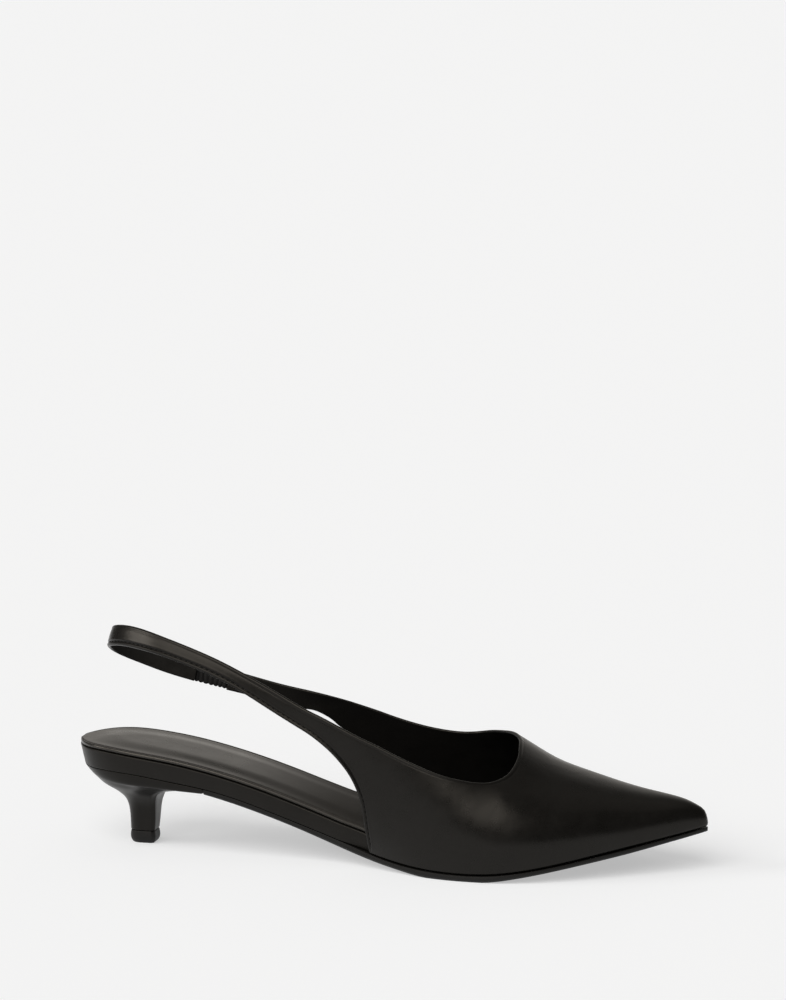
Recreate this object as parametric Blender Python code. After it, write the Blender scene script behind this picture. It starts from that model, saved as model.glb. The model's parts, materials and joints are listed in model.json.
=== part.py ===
# Kitten heel slingback, right shoe, built from its sections: hollow upper with slingback
# straps, gathered elastic, padded sock, wrapped footbed, sole, covered heel and top piece.
import math

import bmesh
import bpy
import numpy as np

# Working frame of the shape tables: millimetres, x from the back of the seat towards the toe,
# y across (lateral side negative, medial side positive), z up from the floor.
HEEL_X = 3.0           # x of the back of the seat
TOE_X = 270.0          # x of the tip of the toe
SEAM_GAP = 0.15        # half of the gap kept between touching pieces
WALL = 1.5             # thickness of the leather wall with its lining
STRAP_WALL = 1.6
SOCK_THICKNESS = 1.7
FLAT_FROM, FLAT_TO = 160.0, 184.0   # the sole lies flat on the floor between these two

# Outline of the bottom, a row per section: half widths at the feather line.
OUTLINE = {
    "x":       (3.0, 6.0, 11.0, 18.0, 27.0, 38.0, 50.0, 70.0, 90.0, 105.0, 118.0, 130.0, 140.0, 150.0, 160.0, 172.0, 182.0, 192.0, 204.0, 216.0, 228.0, 240.0, 251.0, 260.0, 266.0, 270.0),
    "lateral": (0.0, 10.4, 16.6, 20.8, 23.3, 24.0, 23.7, 23.0, 22.3, 22.2, 23.0, 25.4, 28.8, 32.4, 35.6, 38.0, 38.5, 37.9, 34.9, 29.8, 23.4, 16.4, 10.0, 4.6, 0.3, -4.0),
    "medial":  (0.0, 10.4, 16.6, 20.8, 23.2, 23.8, 23.4, 22.6, 22.2, 22.2, 22.8, 24.6, 27.8, 31.6, 35.2, 38.2, 39.4, 39.1, 37.0, 33.0, 27.6, 21.6, 16.0, 11.6, 8.0, 4.0),
}

# Side profile, a row per section: feather line (top face of the sole), underside of the sole,
# and thickness of the wrapped footbed that stands on the sole.
PROFILE = {
    "x":       (0.0, 17.0, 33.0, 48.0, 60.0, 74.0, 88.0, 103.0, 116.0, 126.0, 136.0, 147.0, 160.0, 172.0, 184.0, 195.0, 206.0, 218.0, 230.0, 242.0, 255.0, 270.0),
    "feather": (33.7, 34.5, 33.6, 31.3, 29.3, 26.0, 21.6, 16.4, 12.0, 8.8, 6.1, 4.1, 2.9, 2.6, 2.8, 3.8, 5.4, 7.5, 9.8, 12.1, 14.8, 17.8),
    "sole":    (2.2, 2.4, 2.4, 1.9, 2.2, 2.5, 2.4, 2.4, 2.8, 2.9, 2.6, 2.5, 2.9, 2.6, 2.8, 2.4, 2.1, 2.0, 2.1, 2.1, 1.9, 1.7),
    "footbed": (8.9, 8.35, 7.75, 7.9, 7.5, 7.3, 7.5, 7.6, 7.5, 7.4, 7.0, 6.2, 5.2, 4.4, 3.8, 3.4, 3.1, 3.0, 3.0, 3.0, 3.0, 3.0),
}

# Sections of the last above the feather line: widest half widths, the height (as a part of
# the section) where it is widest, the centre of the crest and the height of the crest.
LAST = {
    "x":       (98.0, 115.0, 130.0, 140.0, 150.0, 160.0, 172.0, 182.0, 192.0, 204.0, 216.0, 228.0, 240.0, 251.0, 260.0, 266.0, 268.4, 269.4, 270.0),
    "lateral": (31.0, 32.9, 34.4, 35.2, 36.4, 37.9, 39.3, 39.6, 38.8, 35.7, 30.6, 24.2, 17.1, 10.7, 5.2, 0.8, -1.2, -2.4, -4.0),
    "medial":  (31.0, 33.1, 34.8, 35.6, 36.6, 38.0, 39.6, 40.6, 40.1, 37.9, 33.8, 28.4, 22.3, 16.7, 12.2, 8.5, 6.7, 5.6, 4.0),
    "widest":  (0.45, 0.38, 0.33, 0.30, 0.27, 0.25, 0.24, 0.24, 0.24, 0.25, 0.26, 0.27, 0.28, 0.30, 0.33, 0.36, 0.38, 0.40, 0.40),
    "square":  (2.2, 2.2, 2.2, 2.2, 2.2, 2.15, 2.0, 1.85, 1.85, 1.9, 1.95, 2.0, 2.05, 2.1, 2.1, 2.1, 2.1, 2.1, 2.1),
    "centre":  (0.5, 0.5, 0.6, 0.7, 0.9, 1.2, 1.6, 2.0, 2.4, 2.8, 3.1, 3.4, 3.7, 3.9, 4.0, 4.0, 4.0, 4.0, 4.0),
    "crest":   (130.0, 125.0, 112.0, 103.0, 93.0, 80.0, 65.5, 57.2, 51.0, 43.8, 39.3, 35.8, 32.8, 30.8, 28.9, 26.4, 24.6, 22.4, 17.9),
}

# Top line of the upper on the last, from the lateral side round the throat to the medial side.
TOPLINE = {
    "x": (112.0, 123.5, 140.5, 149.8, 158.9, 167.9, 175.0, 180.1, 185.1, 189.0, 191.8, 193.3, 193.7, 192.8, 191.3, 185.8, 180.3, 173.3, 162.9, 152.9, 143.4, 134.1, 124.8, 113.0),
    "y": (-31.2, -32.0, -33.0, -34.0, -34.5, -34.5, -34.0, -33.0, -31.0, -28.0, -24.0, -18.0, -11.0, -4.0, 4.0, 15.5, 22.5, 27.5, 32.0, 34.5, 35.0, 34.5, 33.5, 32.0),
    "z": (65.8, 60.4, 53.2, 49.1, 45.4, 42.5, 41.4, 41.2, 41.6, 42.7, 44.7, 46.6, 48.7, 50.8, 52.3, 52.0, 49.6, 46.9, 45.6, 46.4, 48.3, 50.7, 53.6, 57.4),
}

# Rear edge and cut-out on each side, from the feather line upwards.
REAR_LATERAL = {
    "x": (133.7, 133.2, 132.6, 131.5, 129.7, 127.0, 123.4, 119.2, 115.0, 110.7, 106.4),
    "z": (6.5, 17.3, 25.4, 31.6, 36.4, 41.2, 45.9, 49.8, 53.2, 56.1, 58.6),
}
REAR_MEDIAL = {
    "x": (134.0, 133.2, 131.4, 128.2, 123.8, 119.1, 114.7, 110.6, 107.1, 104.4, 101.8),
    "z": (6.7, 14.5, 21.5, 27.5, 32.6, 37.0, 40.8, 44.4, 47.2, 49.4, 51.2),
}

# The two straps, a row per crossing: top edge and bottom edge. The lateral one runs round
# the back of the heel and ends on the medial side, where the elastic takes over.
LATERAL_STRAP = {
    "top_x":    (97.5, 84.5, 71.2, 57.5, 43.6, 33.6, 24.5, 18.8, 16.6, 17.2, 20.6, 27.5, 36.5, 46.8),
    "top_y":    (-30.3, -28.9, -27.0, -24.0, -19.8, -15.0, -9.3, -3.5, 2.5, 8.5, 14.0, 19.0, 22.8, 26.0),
    "top_z":    (72.8, 79.2, 85.0, 89.5, 93.1, 94.8, 94.9, 93.5, 91.4, 88.4, 85.4, 81.8, 77.6, 73.2),
    "bottom_x": (92.0, 80.4, 68.5, 56.0, 42.3, 32.2, 23.0, 16.9, 14.5, 14.6, 17.7, 25.2, 34.6, 45.4),
    "bottom_y": (-30.6, -29.8, -28.6, -26.3, -22.8, -18.2, -12.2, -6.0, 0.3, 6.3, 11.8, 16.5, 20.0, 23.4),
    "bottom_z": (66.3, 72.8, 78.2, 82.2, 85.5, 86.6, 86.4, 84.8, 82.8, 80.1, 76.9, 72.8, 68.7, 65.0),
}
MEDIAL_STRAP = {
    "top_x":    (97.5, 84.0, 71.0, 60.6),
    "top_y":    (30.8, 29.9, 28.6, 27.5),
    "top_z":    (61.4, 64.1, 67.4, 70.2),
    "bottom_x": (91.5, 81.0, 69.5, 59.2),
    "bottom_y": (30.4, 29.2, 27.6, 26.2),
    "bottom_z": (53.7, 56.0, 58.9, 61.3),
}

# Heel, a row per level from the top piece up to the lip under the footbed.
HEEL = {
    "back_x":     (24.1, 24.0, 23.7, 23.1, 22.0, 19.8, 16.6, 12.6, 9.4, 6.8),
    "back_z":     (5.5, 9.5, 14.0, 17.0, 19.5, 21.9, 24.2, 26.6, 29.4, 31.8),
    "front_x":    (35.4, 35.8, 36.1, 36.4, 37.0, 38.6, 43.0, 49.0, 56.0, 61.4),
    "front_z":    (5.5, 9.5, 14.0, 17.0, 19.5, 22.4, 24.7, 26.2, 26.9, 26.8),
    "half_width": (4.5, 5.0, 5.7, 6.7, 8.3, 10.9, 14.4, 17.9, 20.9, 22.6),
    "seat_like":  (0.0, 0.0, 0.0, 0.0, 0.05, 0.15, 0.35, 0.6, 0.85, 0.97),
}
HEEL_FRONT = 62.0      # front end of the heel's lip, where the sole begins
TIP = {"back_x": (25.0, 24.4, 24.2, 24.3), "front_x": (34.8, 35.3, 35.4, 35.3), "half_width": (3.8, 4.3, 4.45, 4.4), "z": (0.0, 0.8, 4.8, 5.2)}


def natural_spline(knots, values):
    """A natural cubic spline through rows of values, as a function of the knot coordinate."""
    knots = np.asarray(knots, float)
    values = np.asarray(values, float)
    flat = values.reshape(len(knots), -1)
    n = len(knots)
    h = np.diff(knots)
    system = np.zeros((n, n))
    right = np.zeros((n, flat.shape[1]))
    system[0, 0] = system[-1, -1] = 1.0
    for i in range(1, n - 1):
        system[i, i - 1], system[i, i], system[i, i + 1] = h[i - 1], 2 * (h[i - 1] + h[i]), h[i]
        right[i] = 6 * ((flat[i + 1] - flat[i]) / h[i] - (flat[i] - flat[i - 1]) / h[i - 1])
    second = np.linalg.solve(system, right)

    def at(where):
        where = np.asarray(where, float)
        shape = where.shape
        w = np.clip(where.ravel(), knots[0], knots[-1])
        i = np.clip(np.searchsorted(knots, w, side="right") - 1, 0, n - 2)
        step = h[i][:, None]
        a = (knots[i + 1] - w)[:, None] / step
        b = 1.0 - a
        out = (a * flat[i] + b * flat[i + 1]
               + ((a ** 3 - a) * second[i] + (b ** 3 - b) * second[i + 1]) * step ** 2 / 6)
        return out.reshape(shape + values.shape[1:])

    return at


def length_angle(x, start=HEEL_X, end=TOE_X):
    """Turns x into an angle that runs evenly round both rounded ends of an outline."""
    return np.arccos(np.clip(1 - 2 * (np.asarray(x, float) - start) / (end - start), -1, 1))


def table(rows, column, key="x"):
    return natural_spline(length_angle(rows[key]), rows[column])


outline_lateral = table(OUTLINE, "lateral")
outline_medial = table(OUTLINE, "medial")
feather_height = natural_spline(PROFILE["x"], PROFILE["feather"])
footbed_thickness = natural_spline(PROFILE["x"], PROFILE["footbed"])
sole_thickness = natural_spline(PROFILE["x"], PROFILE["sole"])

_nose = [math.sqrt(TOE_X - x) for x in LAST["x"]][::-1]
_last = {name: natural_spline(_nose, LAST[name][::-1]) for name in LAST if name != "x"}


def sole_bottom(x):
    """Underside of the sole: flat on the floor between FLAT_FROM and FLAT_TO."""
    x = np.asarray(x, float)
    z = feather_height(x) - sole_thickness(x)
    flat = (x >= FLAT_FROM - 1e-6) & (x <= FLAT_TO + 1e-6)
    return np.where(flat, 0.0, np.maximum(z, 0.0))


CREST_SHARE = 0.25     # part of the girth below the widest point


def last_surface(e, girth):
    """Point of the last. e is the root of the distance from the toe, girth runs from 0 at the
    lateral feather line over the crest to 1 at the medial feather line."""
    e = np.abs(np.asarray(e, float))
    girth = np.asarray(girth, float)
    x = TOE_X - e ** 2
    angle = length_angle(x)
    medial = girth > 0.5
    share = np.where(medial, 1 - girth, girth) * 2
    centre = _last["centre"](e)
    base = np.where(medial, outline_medial(angle) - centre, outline_lateral(angle) + centre)
    wide = np.where(medial, _last["medial"](e) - centre, _last["lateral"](e) + centre)
    base = np.maximum(base, 0)
    wide = np.maximum(wide, 0)
    low = feather_height(x) + SEAM_GAP
    height = np.maximum(_last["crest"](e) - low, 0)
    part = _last["widest"](e)
    below = np.clip(share / CREST_SHARE, 0, 1)
    above = np.clip((share - CREST_SHARE) / (1 - CREST_SHARE), 0, 1) * (math.pi / 2)
    squareness = _last["square"](e)
    radius = (np.abs(np.cos(above)) ** squareness + np.abs(np.sin(above)) ** squareness) ** (-1 / squareness)
    up = np.where(share <= CREST_SHARE, part * below, part + (1 - part) * radius * np.sin(above))
    across = np.where(share <= CREST_SHARE, wide - (wide - base) * (1 - below) ** 2, wide * radius * np.cos(above))
    y = np.where(medial, centre + across, centre - across)
    return np.stack([x, y, low + height * up], axis=-1)


def girth_of(x, y, z):
    """The girth coordinate of the point of the last nearest to a given point of the same section."""
    tries = np.linspace(0, 1, 801)
    e = np.full(tries.shape, math.sqrt(max(TOE_X - x, 0)))
    points = last_surface(e, tries)
    return float(tries[np.argmin((points[:, 1] - y) ** 2 + (points[:, 2] - z) ** 2)])


def girth_at_height(x, z, medial):
    """The girth coordinate on one side at a given height, below the crest."""
    tries = np.linspace(0.5, 1, 601) if medial else np.linspace(0, 0.5, 601)
    e = np.full(tries.shape, math.sqrt(TOE_X - x))
    heights = last_surface(e, tries)[:, 2]
    return float(tries[np.argmin(np.abs(heights - z))])


def to_plane(x, girth):
    """The half plane around the toe tip in which the upper's grid is laid out."""
    e = math.sqrt(TOE_X - x)
    return e * math.cos(math.pi * girth), e * math.sin(math.pi * girth)


def from_plane(points):
    e = np.hypot(points[..., 0], points[..., 1])
    girth = np.arctan2(points[..., 1], points[..., 0]) / math.pi
    return last_surface(e, np.clip(girth, 0, 1))


def along(points):
    """Running length of a polyline, scaled to end at 1."""
    steps = np.linalg.norm(np.diff(np.asarray(points, float), axis=0), axis=1)
    total = np.concatenate([[0], np.cumsum(steps)])
    return total / total[-1]


def topline_curve():
    pts = []
    for x, y, z in zip(TOPLINE["x"], TOPLINE["y"], TOPLINE["z"]):
        pts.append(to_plane(x, girth_of(x, y, z)))
    pts = np.array(pts)
    share = along(from_plane(pts))
    return natural_spline(share, pts), share


def rear_curve(rows, medial):
    pts = []
    for i, (x, z) in enumerate(zip(rows["x"], rows["z"])):
        girth = (1.0 if medial else 0.0) if i == 0 else girth_at_height(x, z, medial)
        pts.append(to_plane(x, girth))
    pts = np.array(pts)
    return natural_spline(along(from_plane(pts)), pts)


def even(count, start, stop):
    return np.linspace(start, stop, count + 1)


def body_columns(n_rear, n_side):
    """Bottom and top point, in the grid plane, of each column of the body of the upper, from
    the lateral cut-out round the toe to the medial cut-out."""
    top, top_share = topline_curve()
    rear_lateral = rear_curve(REAR_LATERAL, False)
    rear_medial = rear_curve(REAR_MEDIAL, True)
    lateral_corner = rear_lateral(0.0)
    medial_corner = rear_medial(0.0)
    at_corner_lateral = top_share[4] * 0.55 + top_share[3] * 0.45
    at_centre = top_share[13] * 0.1 + top_share[14] * 0.9
    at_corner_medial = top_share[19] * 0.6 + top_share[20] * 0.4
    bottoms, tops = [], []
    for k in even(n_rear, 0, 1)[:-1]:
        bottoms.append(rear_lateral(1 - k))
        tops.append(top(k * at_corner_lateral))
    for k in even(n_side, 0, 1)[:-1]:
        ease = k
        bottoms.append(lateral_corner * (1 - ease))
        tops.append(top(at_corner_lateral + (at_centre - at_corner_lateral) * k))
    for k in even(n_side, 0, 1)[:-1]:
        bottoms.append(medial_corner * k)
        tops.append(top(at_centre + (at_corner_medial - at_centre) * k))
    for k in even(n_rear, 0, 1):
        bottoms.append(rear_medial(k))
        tops.append(top(at_corner_medial + (1 - at_corner_medial) * k))
    return np.array(bottoms), np.array(tops)


def row_shares(n_rows):
    """Rows from the bottom edge (0) to the top edge (1), a little closer at the edges."""
    k = even(n_rows, 0, 1)
    return k - 0.055 * np.sin(2 * math.pi * k)


def strap_rows(rows, shares, bulge):
    top = np.stack([rows["top_x"], rows["top_y"], rows["top_z"]], axis=-1)
    bottom = np.stack([rows["bottom_x"], rows["bottom_y"], rows["bottom_z"]], axis=-1)
    s = np.asarray(shares)[None, :, None]
    flat = bottom[:, None, :] * (1 - s) + top[:, None, :] * s
    path = (top + bottom) / 2
    forward = np.gradient(path, axis=0)
    out = np.cross(forward, top - bottom)
    out /= np.linalg.norm(out, axis=1, keepdims=True)
    return flat, out[:, None, :] * (4 * s * (1 - s)) * bulge


def upper_surface(n_rear=12, n_side=24, n_strap=34, n_tab=10, n_rows=8):
    """Outer face of the upper as a grid of points, from the strap's end on the medial side,
    round the back of the heel, along the lateral side, round the toe and back to the end of
    the medial strap. Columns run along it, rows from the bottom edge to the top edge."""
    shares = row_shares(n_rows)
    bottoms, tops = body_columns(n_rear, n_side)
    s = shares[None, :, None]
    body = from_plane(bottoms[:, None, :] * (1 - s) + tops[:, None, :] * s)
    lateral, bulge = strap_rows(LATERAL_STRAP, shares, 0.35)
    lateral = (lateral - bulge)[::-1]
    medial, bulge = strap_rows(MEDIAL_STRAP, shares, 0.3)
    medial = medial + bulge

    def joined(strap, near, count):
        """Strap rows carried smoothly on to the first columns of the body."""
        keys = np.concatenate([strap, near[:4]], axis=0)
        middle = keys[:, keys.shape[1] // 2]
        knots = np.concatenate([[0], np.cumsum(np.linalg.norm(np.diff(middle, axis=0), axis=1))])
        curve = natural_spline(knots, keys)
        return curve(even(count, 0, knots[len(strap)]))[:-1]

    left = joined(lateral, body, n_strap)
    right = joined(medial[::-1], body[::-1], n_tab)[::-1]
    return np.concatenate([left, body, right], axis=0)


def grid_normals(grid):
    """Unit normals of a grid of points, pointing out of the shoe."""
    du = np.gradient(grid, axis=0)
    dv = np.gradient(grid, axis=1)
    normal = np.cross(du, dv)
    size = np.linalg.norm(normal, axis=2, keepdims=True)
    return normal / np.maximum(size, 1e-9)


def ease(x, start, stop):
    """Rises smoothly from 0 at start to 1 at stop."""
    t = np.clip((np.asarray(x, float) - start) / (stop - start), 0, 1)
    return t * t * (3 - 2 * t)


def half_widths(x, margin):
    """Lateral and medial edge of the outline at x, moved outwards by the margin."""
    angle = length_angle(x)
    return -(outline_lateral(angle) + margin), outline_medial(angle) + margin


def upper_solid(*counts):
    """Outer and inner face of the hollow upper."""
    outer = upper_surface(*counts)
    normal = grid_normals(outer)
    inner = outer - normal * WALL
    floor = feather_height(inner[..., 0]) + SEAM_GAP
    body = inner[..., 0] > 120
    inner[..., 2] = np.where(body, np.maximum(inner[..., 2], floor), inner[..., 2])
    return outer, inner


def sole_loops(stations=44):
    """Loops of the sole from the heel's lip to the tip, flat on the floor in the middle."""
    edge, end = 0.6, TOE_X - 0.15
    roots = np.linspace(math.sqrt(end - HEEL_FRONT - 2 * SEAM_GAP), 0.2, stations)
    stops = np.sqrt(end - np.array([FLAT_FROM, FLAT_TO]))
    for stop in stops:
        roots[np.argmin(np.abs(roots - stop))] = stop
    loops = []
    for root in roots:
        x = end - root ** 2
        on_last = min(TOE_X - 1e-6, x)
        margin = -0.3 + (edge + 0.3) * float(ease(x, 120, 145)) - (edge - 0.1) * float(ease(x, 235, 266))
        margin -= SEAT_LEAN_SIDE * (1 - float(ease(x, 62, 100)))
        lateral, medial = half_widths(on_last, margin)
        lateral, medial = float(lateral), float(medial)
        top = float(feather_height(min(x, TOE_X))) - SEAM_GAP
        low = float(sole_bottom(min(x, TOE_X)))
        middle, half = (lateral + medial) / 2, (medial - lateral) / 2
        bevel = min(0.7, half * 0.5)
        loop = [(x, middle + half * s, top) for s in (-1.0, -0.5, 0.0, 0.5, 1.0)]
        loop += [(x, middle + half, low + (top - low) * 0.35)]
        loop += [(x, middle + (half - bevel) * s, low) for s in (1.0, 0.5, 0.0, -0.5, -1.0)]
        loop += [(x, middle - half, low + (top - low) * 0.35)]
        loops.append(loop)
    return np.array(loops)


def footbed_margin(x):
    """The footbed is flush with the outline behind the upper and fits inside it in front."""
    return -0.1 - 2.25 * ease(x, 119, 133)


FOOTBED_TOE = 265.5
SOCK_EDGE = 0.45


def bed_stations(count, start, stop):
    angle = np.linspace(float(length_angle(start)), float(length_angle(stop)), count)
    return HEEL_X + (TOE_X - HEEL_X) * (1 - np.cos(angle)) / 2


SEAT_LEAN_BACK = 1.7   # the footbed's wall leans in under the seat: at the back, and at the sides
SEAT_LEAN_SIDE = 0.8


def lean(loop, low, top):
    """Moves the lower part of a loop of the footbed inwards where the heel takes it up."""
    loop = np.array(loop, float)
    share = np.clip((top - loop[:, 2]) / (top - low), 0, 1)
    middle = (loop[:, 1].min() + loop[:, 1].max()) / 2
    half = max((loop[:, 1].max() - loop[:, 1].min()) / 2, 1e-6)
    side = min(SEAT_LEAN_SIDE * (1 - float(ease(loop[0, 0], 62, 100))), 0.3 * half)
    back = SEAT_LEAN_BACK * (1 - float(ease(loop[0, 0], HEEL_X, 32)))
    loop[:, 1] = middle + (loop[:, 1] - middle) * (1 - side * share / half)
    loop[:, 0] += back * share
    return loop


def footbed_loops(stations=46):
    """Loops of the wrapped footbed, its side wall showing from the heel to the upper."""
    loops = []
    for x in bed_stations(stations, HEEL_X + 0.06, FOOTBED_TOE):
        lateral, medial = (float(v) for v in half_widths(x, footbed_margin(x)))
        low = float(feather_height(x)) + SEAM_GAP
        top = float(feather_height(x) + footbed_thickness(x)) - SEAM_GAP
        middle, half = (lateral + medial) / 2, (medial - lateral) / 2
        r = min(0.7, half * 0.4)
        side = [(half - r, low), (half, low + r), (half, top - r), (half - r, top)]
        across = [(half * 0.45, top), (0.0, top), (-half * 0.45, top)]
        loop = [(x, middle + y, z) for y, z in side + across]
        loop += [(x, middle - y, z) for y, z in side[::-1]]
        loop += [(x, middle, low)]
        loops.append(lean(loop, low, top))
    return np.array(loops)


def sock_loops(stations=46):
    """Loops of the padded sock on the footbed: rounded rim, slightly fuller in the middle."""
    loops = []
    for x in bed_stations(stations, HEEL_X + 0.5, FOOTBED_TOE - 0.8):
        lateral, medial = (float(v) for v in half_widths(x, footbed_margin(x) - SOCK_EDGE))
        low = float(feather_height(x) + footbed_thickness(x)) + SEAM_GAP
        middle, half = (lateral + medial) / 2, (medial - lateral) / 2
        r = min(0.9, half * 0.4)
        t = SOCK_THICKNESS
        side = [(half - 0.2 * r, low), (half, low + 0.4 * t), (half - 0.45 * r, low + 0.8 * t), (half - 1.4 * r, low + t)]
        across = [(half * 0.5, low + t + 0.25), (0.0, low + t + 0.35), (-half * 0.5, low + t + 0.25)]
        loop = [(x, middle + y, z) for y, z in side + across]
        loop += [(x, middle - y, z) for y, z in side[::-1]]
        loop += [(x, middle, low)]
        loops.append(loop)
    return np.array(loops)


def d_shape(u):
    """Half width of a D, rounded at the back (0) and straight at the front (1)."""
    round_part = 0.46
    back = np.sqrt(np.clip(1 - ((round_part - np.minimum(u, round_part)) / round_part) ** 2, 0, 1))
    return back * (1 - 0.16 * ease(u, 0.86, 1.0))


def ring(back_x, front_x, half, height, blend, count=13):
    """One level of the heel: from the lateral front corner round the back to the medial one."""
    u = (1 - np.cos(np.linspace(0, math.pi, count))) / 2
    u = 0.5 * u + 0.5 * np.linspace(0, 1, count) ** 1.6
    x = back_x + (front_x - back_x) * u
    seat_x = HEEL_X + 0.2 + (HEEL_FRONT - HEEL_X - 0.2) * u
    lateral, medial = half_widths(seat_x, -0.2 - SEAT_LEAN_SIDE)
    widest = 23.6
    near = -half * ((1 - blend) * d_shape(u) - blend * lateral / widest)
    far = half * ((1 - blend) * d_shape(u) + blend * medial / widest)
    z = height(x, u)
    side = np.stack([x, near, z], axis=-1)[::-1]
    other = np.stack([x, far, z], axis=-1)[1:]
    front = np.stack([np.full(3, x[-1]), np.array([0.5, 0.0, -0.5]) * (far[-1] - near[-1]) / 2 + (far[-1] + near[-1]) / 2,
                      np.full(3, z[-1])], axis=-1)
    return np.concatenate([side, other, front])


def heel_loops(count=13):
    loops = []
    for i in range(len(HEEL["back_x"])):
        row = {name: HEEL[name][i] for name in HEEL}
        loops.append(ring(row["back_x"], row["front_x"], row["half_width"],
                          lambda x, u: row["back_z"] + (row["front_z"] - row["back_z"]) * u, row["seat_like"], count))
    loops.append(ring(HEEL_X + 0.2 + SEAT_LEAN_BACK, HEEL_FRONT, 23.6, lambda x, u: feather_height(x) - SEAM_GAP, 1.0, count))
    return np.array(loops)


def tip_loops(count=13):
    loops = []
    for i in range(len(TIP["z"])):
        z = TIP["z"][i]
        loops.append(ring(TIP["back_x"][i], TIP["front_x"][i], TIP["half_width"][i], lambda x, u: x * 0 + z, 0.0, count))
    return np.array(loops)


ELASTIC_WALL = 1.1
ELASTIC_RUFFLES = 7


def elastic_solid(columns=22, rows=4):
    """The gathered elastic between the strap's end and the medial strap's end."""
    def edge(name):
        a = np.array([LATERAL_STRAP[name + "_" + c][-1] for c in "xyz"])
        before = np.array([LATERAL_STRAP[name + "_" + c][-2] for c in "xyz"])
        b = np.array([MEDIAL_STRAP[name + "_" + c][-1] for c in "xyz"])
        after = np.array([MEDIAL_STRAP[name + "_" + c][-2] for c in "xyz"])
        knots = np.concatenate([[0], np.cumsum([np.linalg.norm(a - before), np.linalg.norm(b - a), np.linalg.norm(after - b)])])
        curve = natural_spline(knots, np.array([before, a, b, after]))
        gap = 2 * SEAM_GAP
        return curve(np.linspace(knots[1] + gap, knots[2] - gap, columns))
    top, bottom = edge("top"), edge("bottom")
    share = np.linspace(0.03, 0.97, rows)[None, :, None]
    middle = bottom[:, None] * (1 - share) + top[:, None] * share
    wave = np.sin(np.linspace(0, 2 * math.pi * ELASTIC_RUFFLES, columns))
    up = (top - bottom) / np.linalg.norm(top - bottom, axis=1, keepdims=True)
    stretch = np.linspace(-1, 1, rows)[None, :, None]
    middle = middle + up[:, None] * stretch ** 3 * 0.25 * wave[:, None, None]
    normal = grid_normals(middle)
    inwards = -normal
    skin = STRAP_WALL / 2
    centre = middle - inwards * skin
    half = ELASTIC_WALL / 2
    return centre, inwards, half


# ---------------------------------------------------------------- building the pieces

def strip(outer, inner):
    """A closed body between two faces that are grids of the same size."""
    n, m = outer.shape[:2]
    points = np.concatenate([outer.reshape(-1, 3), inner.reshape(-1, 3)])

    def at(side, i, j):
        return side * n * m + i * m + j

    faces = []
    for i in range(n - 1):
        for j in range(m - 1):
            faces.append((at(0, i, j), at(0, i + 1, j), at(0, i + 1, j + 1), at(0, i, j + 1)))
            faces.append((at(1, i, j), at(1, i, j + 1), at(1, i + 1, j + 1), at(1, i + 1, j)))
    for i in range(n - 1):
        faces.append((at(0, i, 0), at(1, i, 0), at(1, i + 1, 0), at(0, i + 1, 0)))
        faces.append((at(0, i, m - 1), at(0, i + 1, m - 1), at(1, i + 1, m - 1), at(1, i, m - 1)))
    for j in range(m - 1):
        faces.append((at(0, 0, j), at(0, 0, j + 1), at(1, 0, j + 1), at(1, 0, j)))
        faces.append((at(0, n - 1, j), at(1, n - 1, j), at(1, n - 1, j + 1), at(0, n - 1, j + 1)))
    return points, faces


def loft(loops):
    """A closed body through loops of the same number of points, with flat ends."""
    n, m = loops.shape[:2]
    faces = []
    for i in range(n - 1):
        for j in range(m):
            k = (j + 1) % m
            faces.append((i * m + j, i * m + k, (i + 1) * m + k, (i + 1) * m + j))
    faces.append(tuple(range(m))[::-1])
    faces.append(tuple((n - 1) * m + j for j in range(m)))
    return loops.reshape(-1, 3), faces


def material(name, colour, roughness):
    made = bpy.data.materials.new(name)
    made.use_nodes = True
    shader = made.node_tree.nodes["Principled BSDF"]
    shader.inputs["Base Color"].default_value = (*colour, 1.0)
    shader.inputs["Roughness"].default_value = roughness
    return made


def add(name, points, faces, look, angle=40.0):
    mesh = bpy.data.meshes.new(name)
    mesh.from_pydata([tuple(p) for p in points / 1000.0], [], faces)
    mesh.validate()
    shape = bmesh.new()
    shape.from_mesh(mesh)
    bmesh.ops.recalc_face_normals(shape, faces=shape.faces)
    sharp = math.radians(angle)
    for face in shape.faces:
        face.smooth = True
    for edge in shape.edges:
        edge.smooth = len(edge.link_faces) == 2 and edge.calc_face_angle(0.0) < sharp
    shape.to_mesh(mesh)
    shape.free()
    mesh.materials.append(look)
    made = bpy.data.objects.new(name, mesh)
    bpy.context.scene.collection.objects.link(made)
    return made


for old in list(bpy.data.objects):
    bpy.data.objects.remove(old)

pieces = {}
pieces["upper"] = strip(*upper_solid())
centre, inwards, half = elastic_solid()
pieces["strap_elastic"] = strip(centre - inwards * half, centre + inwards * half)
pieces["insole_sock"] = loft(sock_loops())
pieces["insole_board"] = loft(footbed_loops())
pieces["outsole"] = loft(sole_loops())
pieces["heel"] = loft(heel_loops())
pieces["heel_top_piece"] = loft(tip_loops())

everything = np.concatenate([points for points, faces in pieces.values()])
low, high = everything.min(axis=0), everything.max(axis=0)
origin = np.array([(low[0] + high[0]) / 2, (low[1] + high[1]) / 2, low[2]])

LOOKS = {
    "upper": ("upper_leather", (0.012, 0.012, 0.013), 0.42),
    "strap_elastic": ("elastic", (0.012, 0.012, 0.012), 0.8),
    "insole_sock": ("sock_lining", (0.03, 0.03, 0.03), 0.5),
    "insole_board": ("rand_leather", (0.02, 0.02, 0.02), 0.45),
    "outsole": ("sole_rubber", (0.008, 0.008, 0.008), 0.6),
    "heel": ("heel_cover", (0.012, 0.012, 0.013), 0.4),
    "heel_top_piece": ("top_piece_rubber", (0.008, 0.008, 0.008), 0.55),
}
for name, (points, faces) in pieces.items():
    add(name, points - origin, faces, material(*LOOKS[name]))
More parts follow.
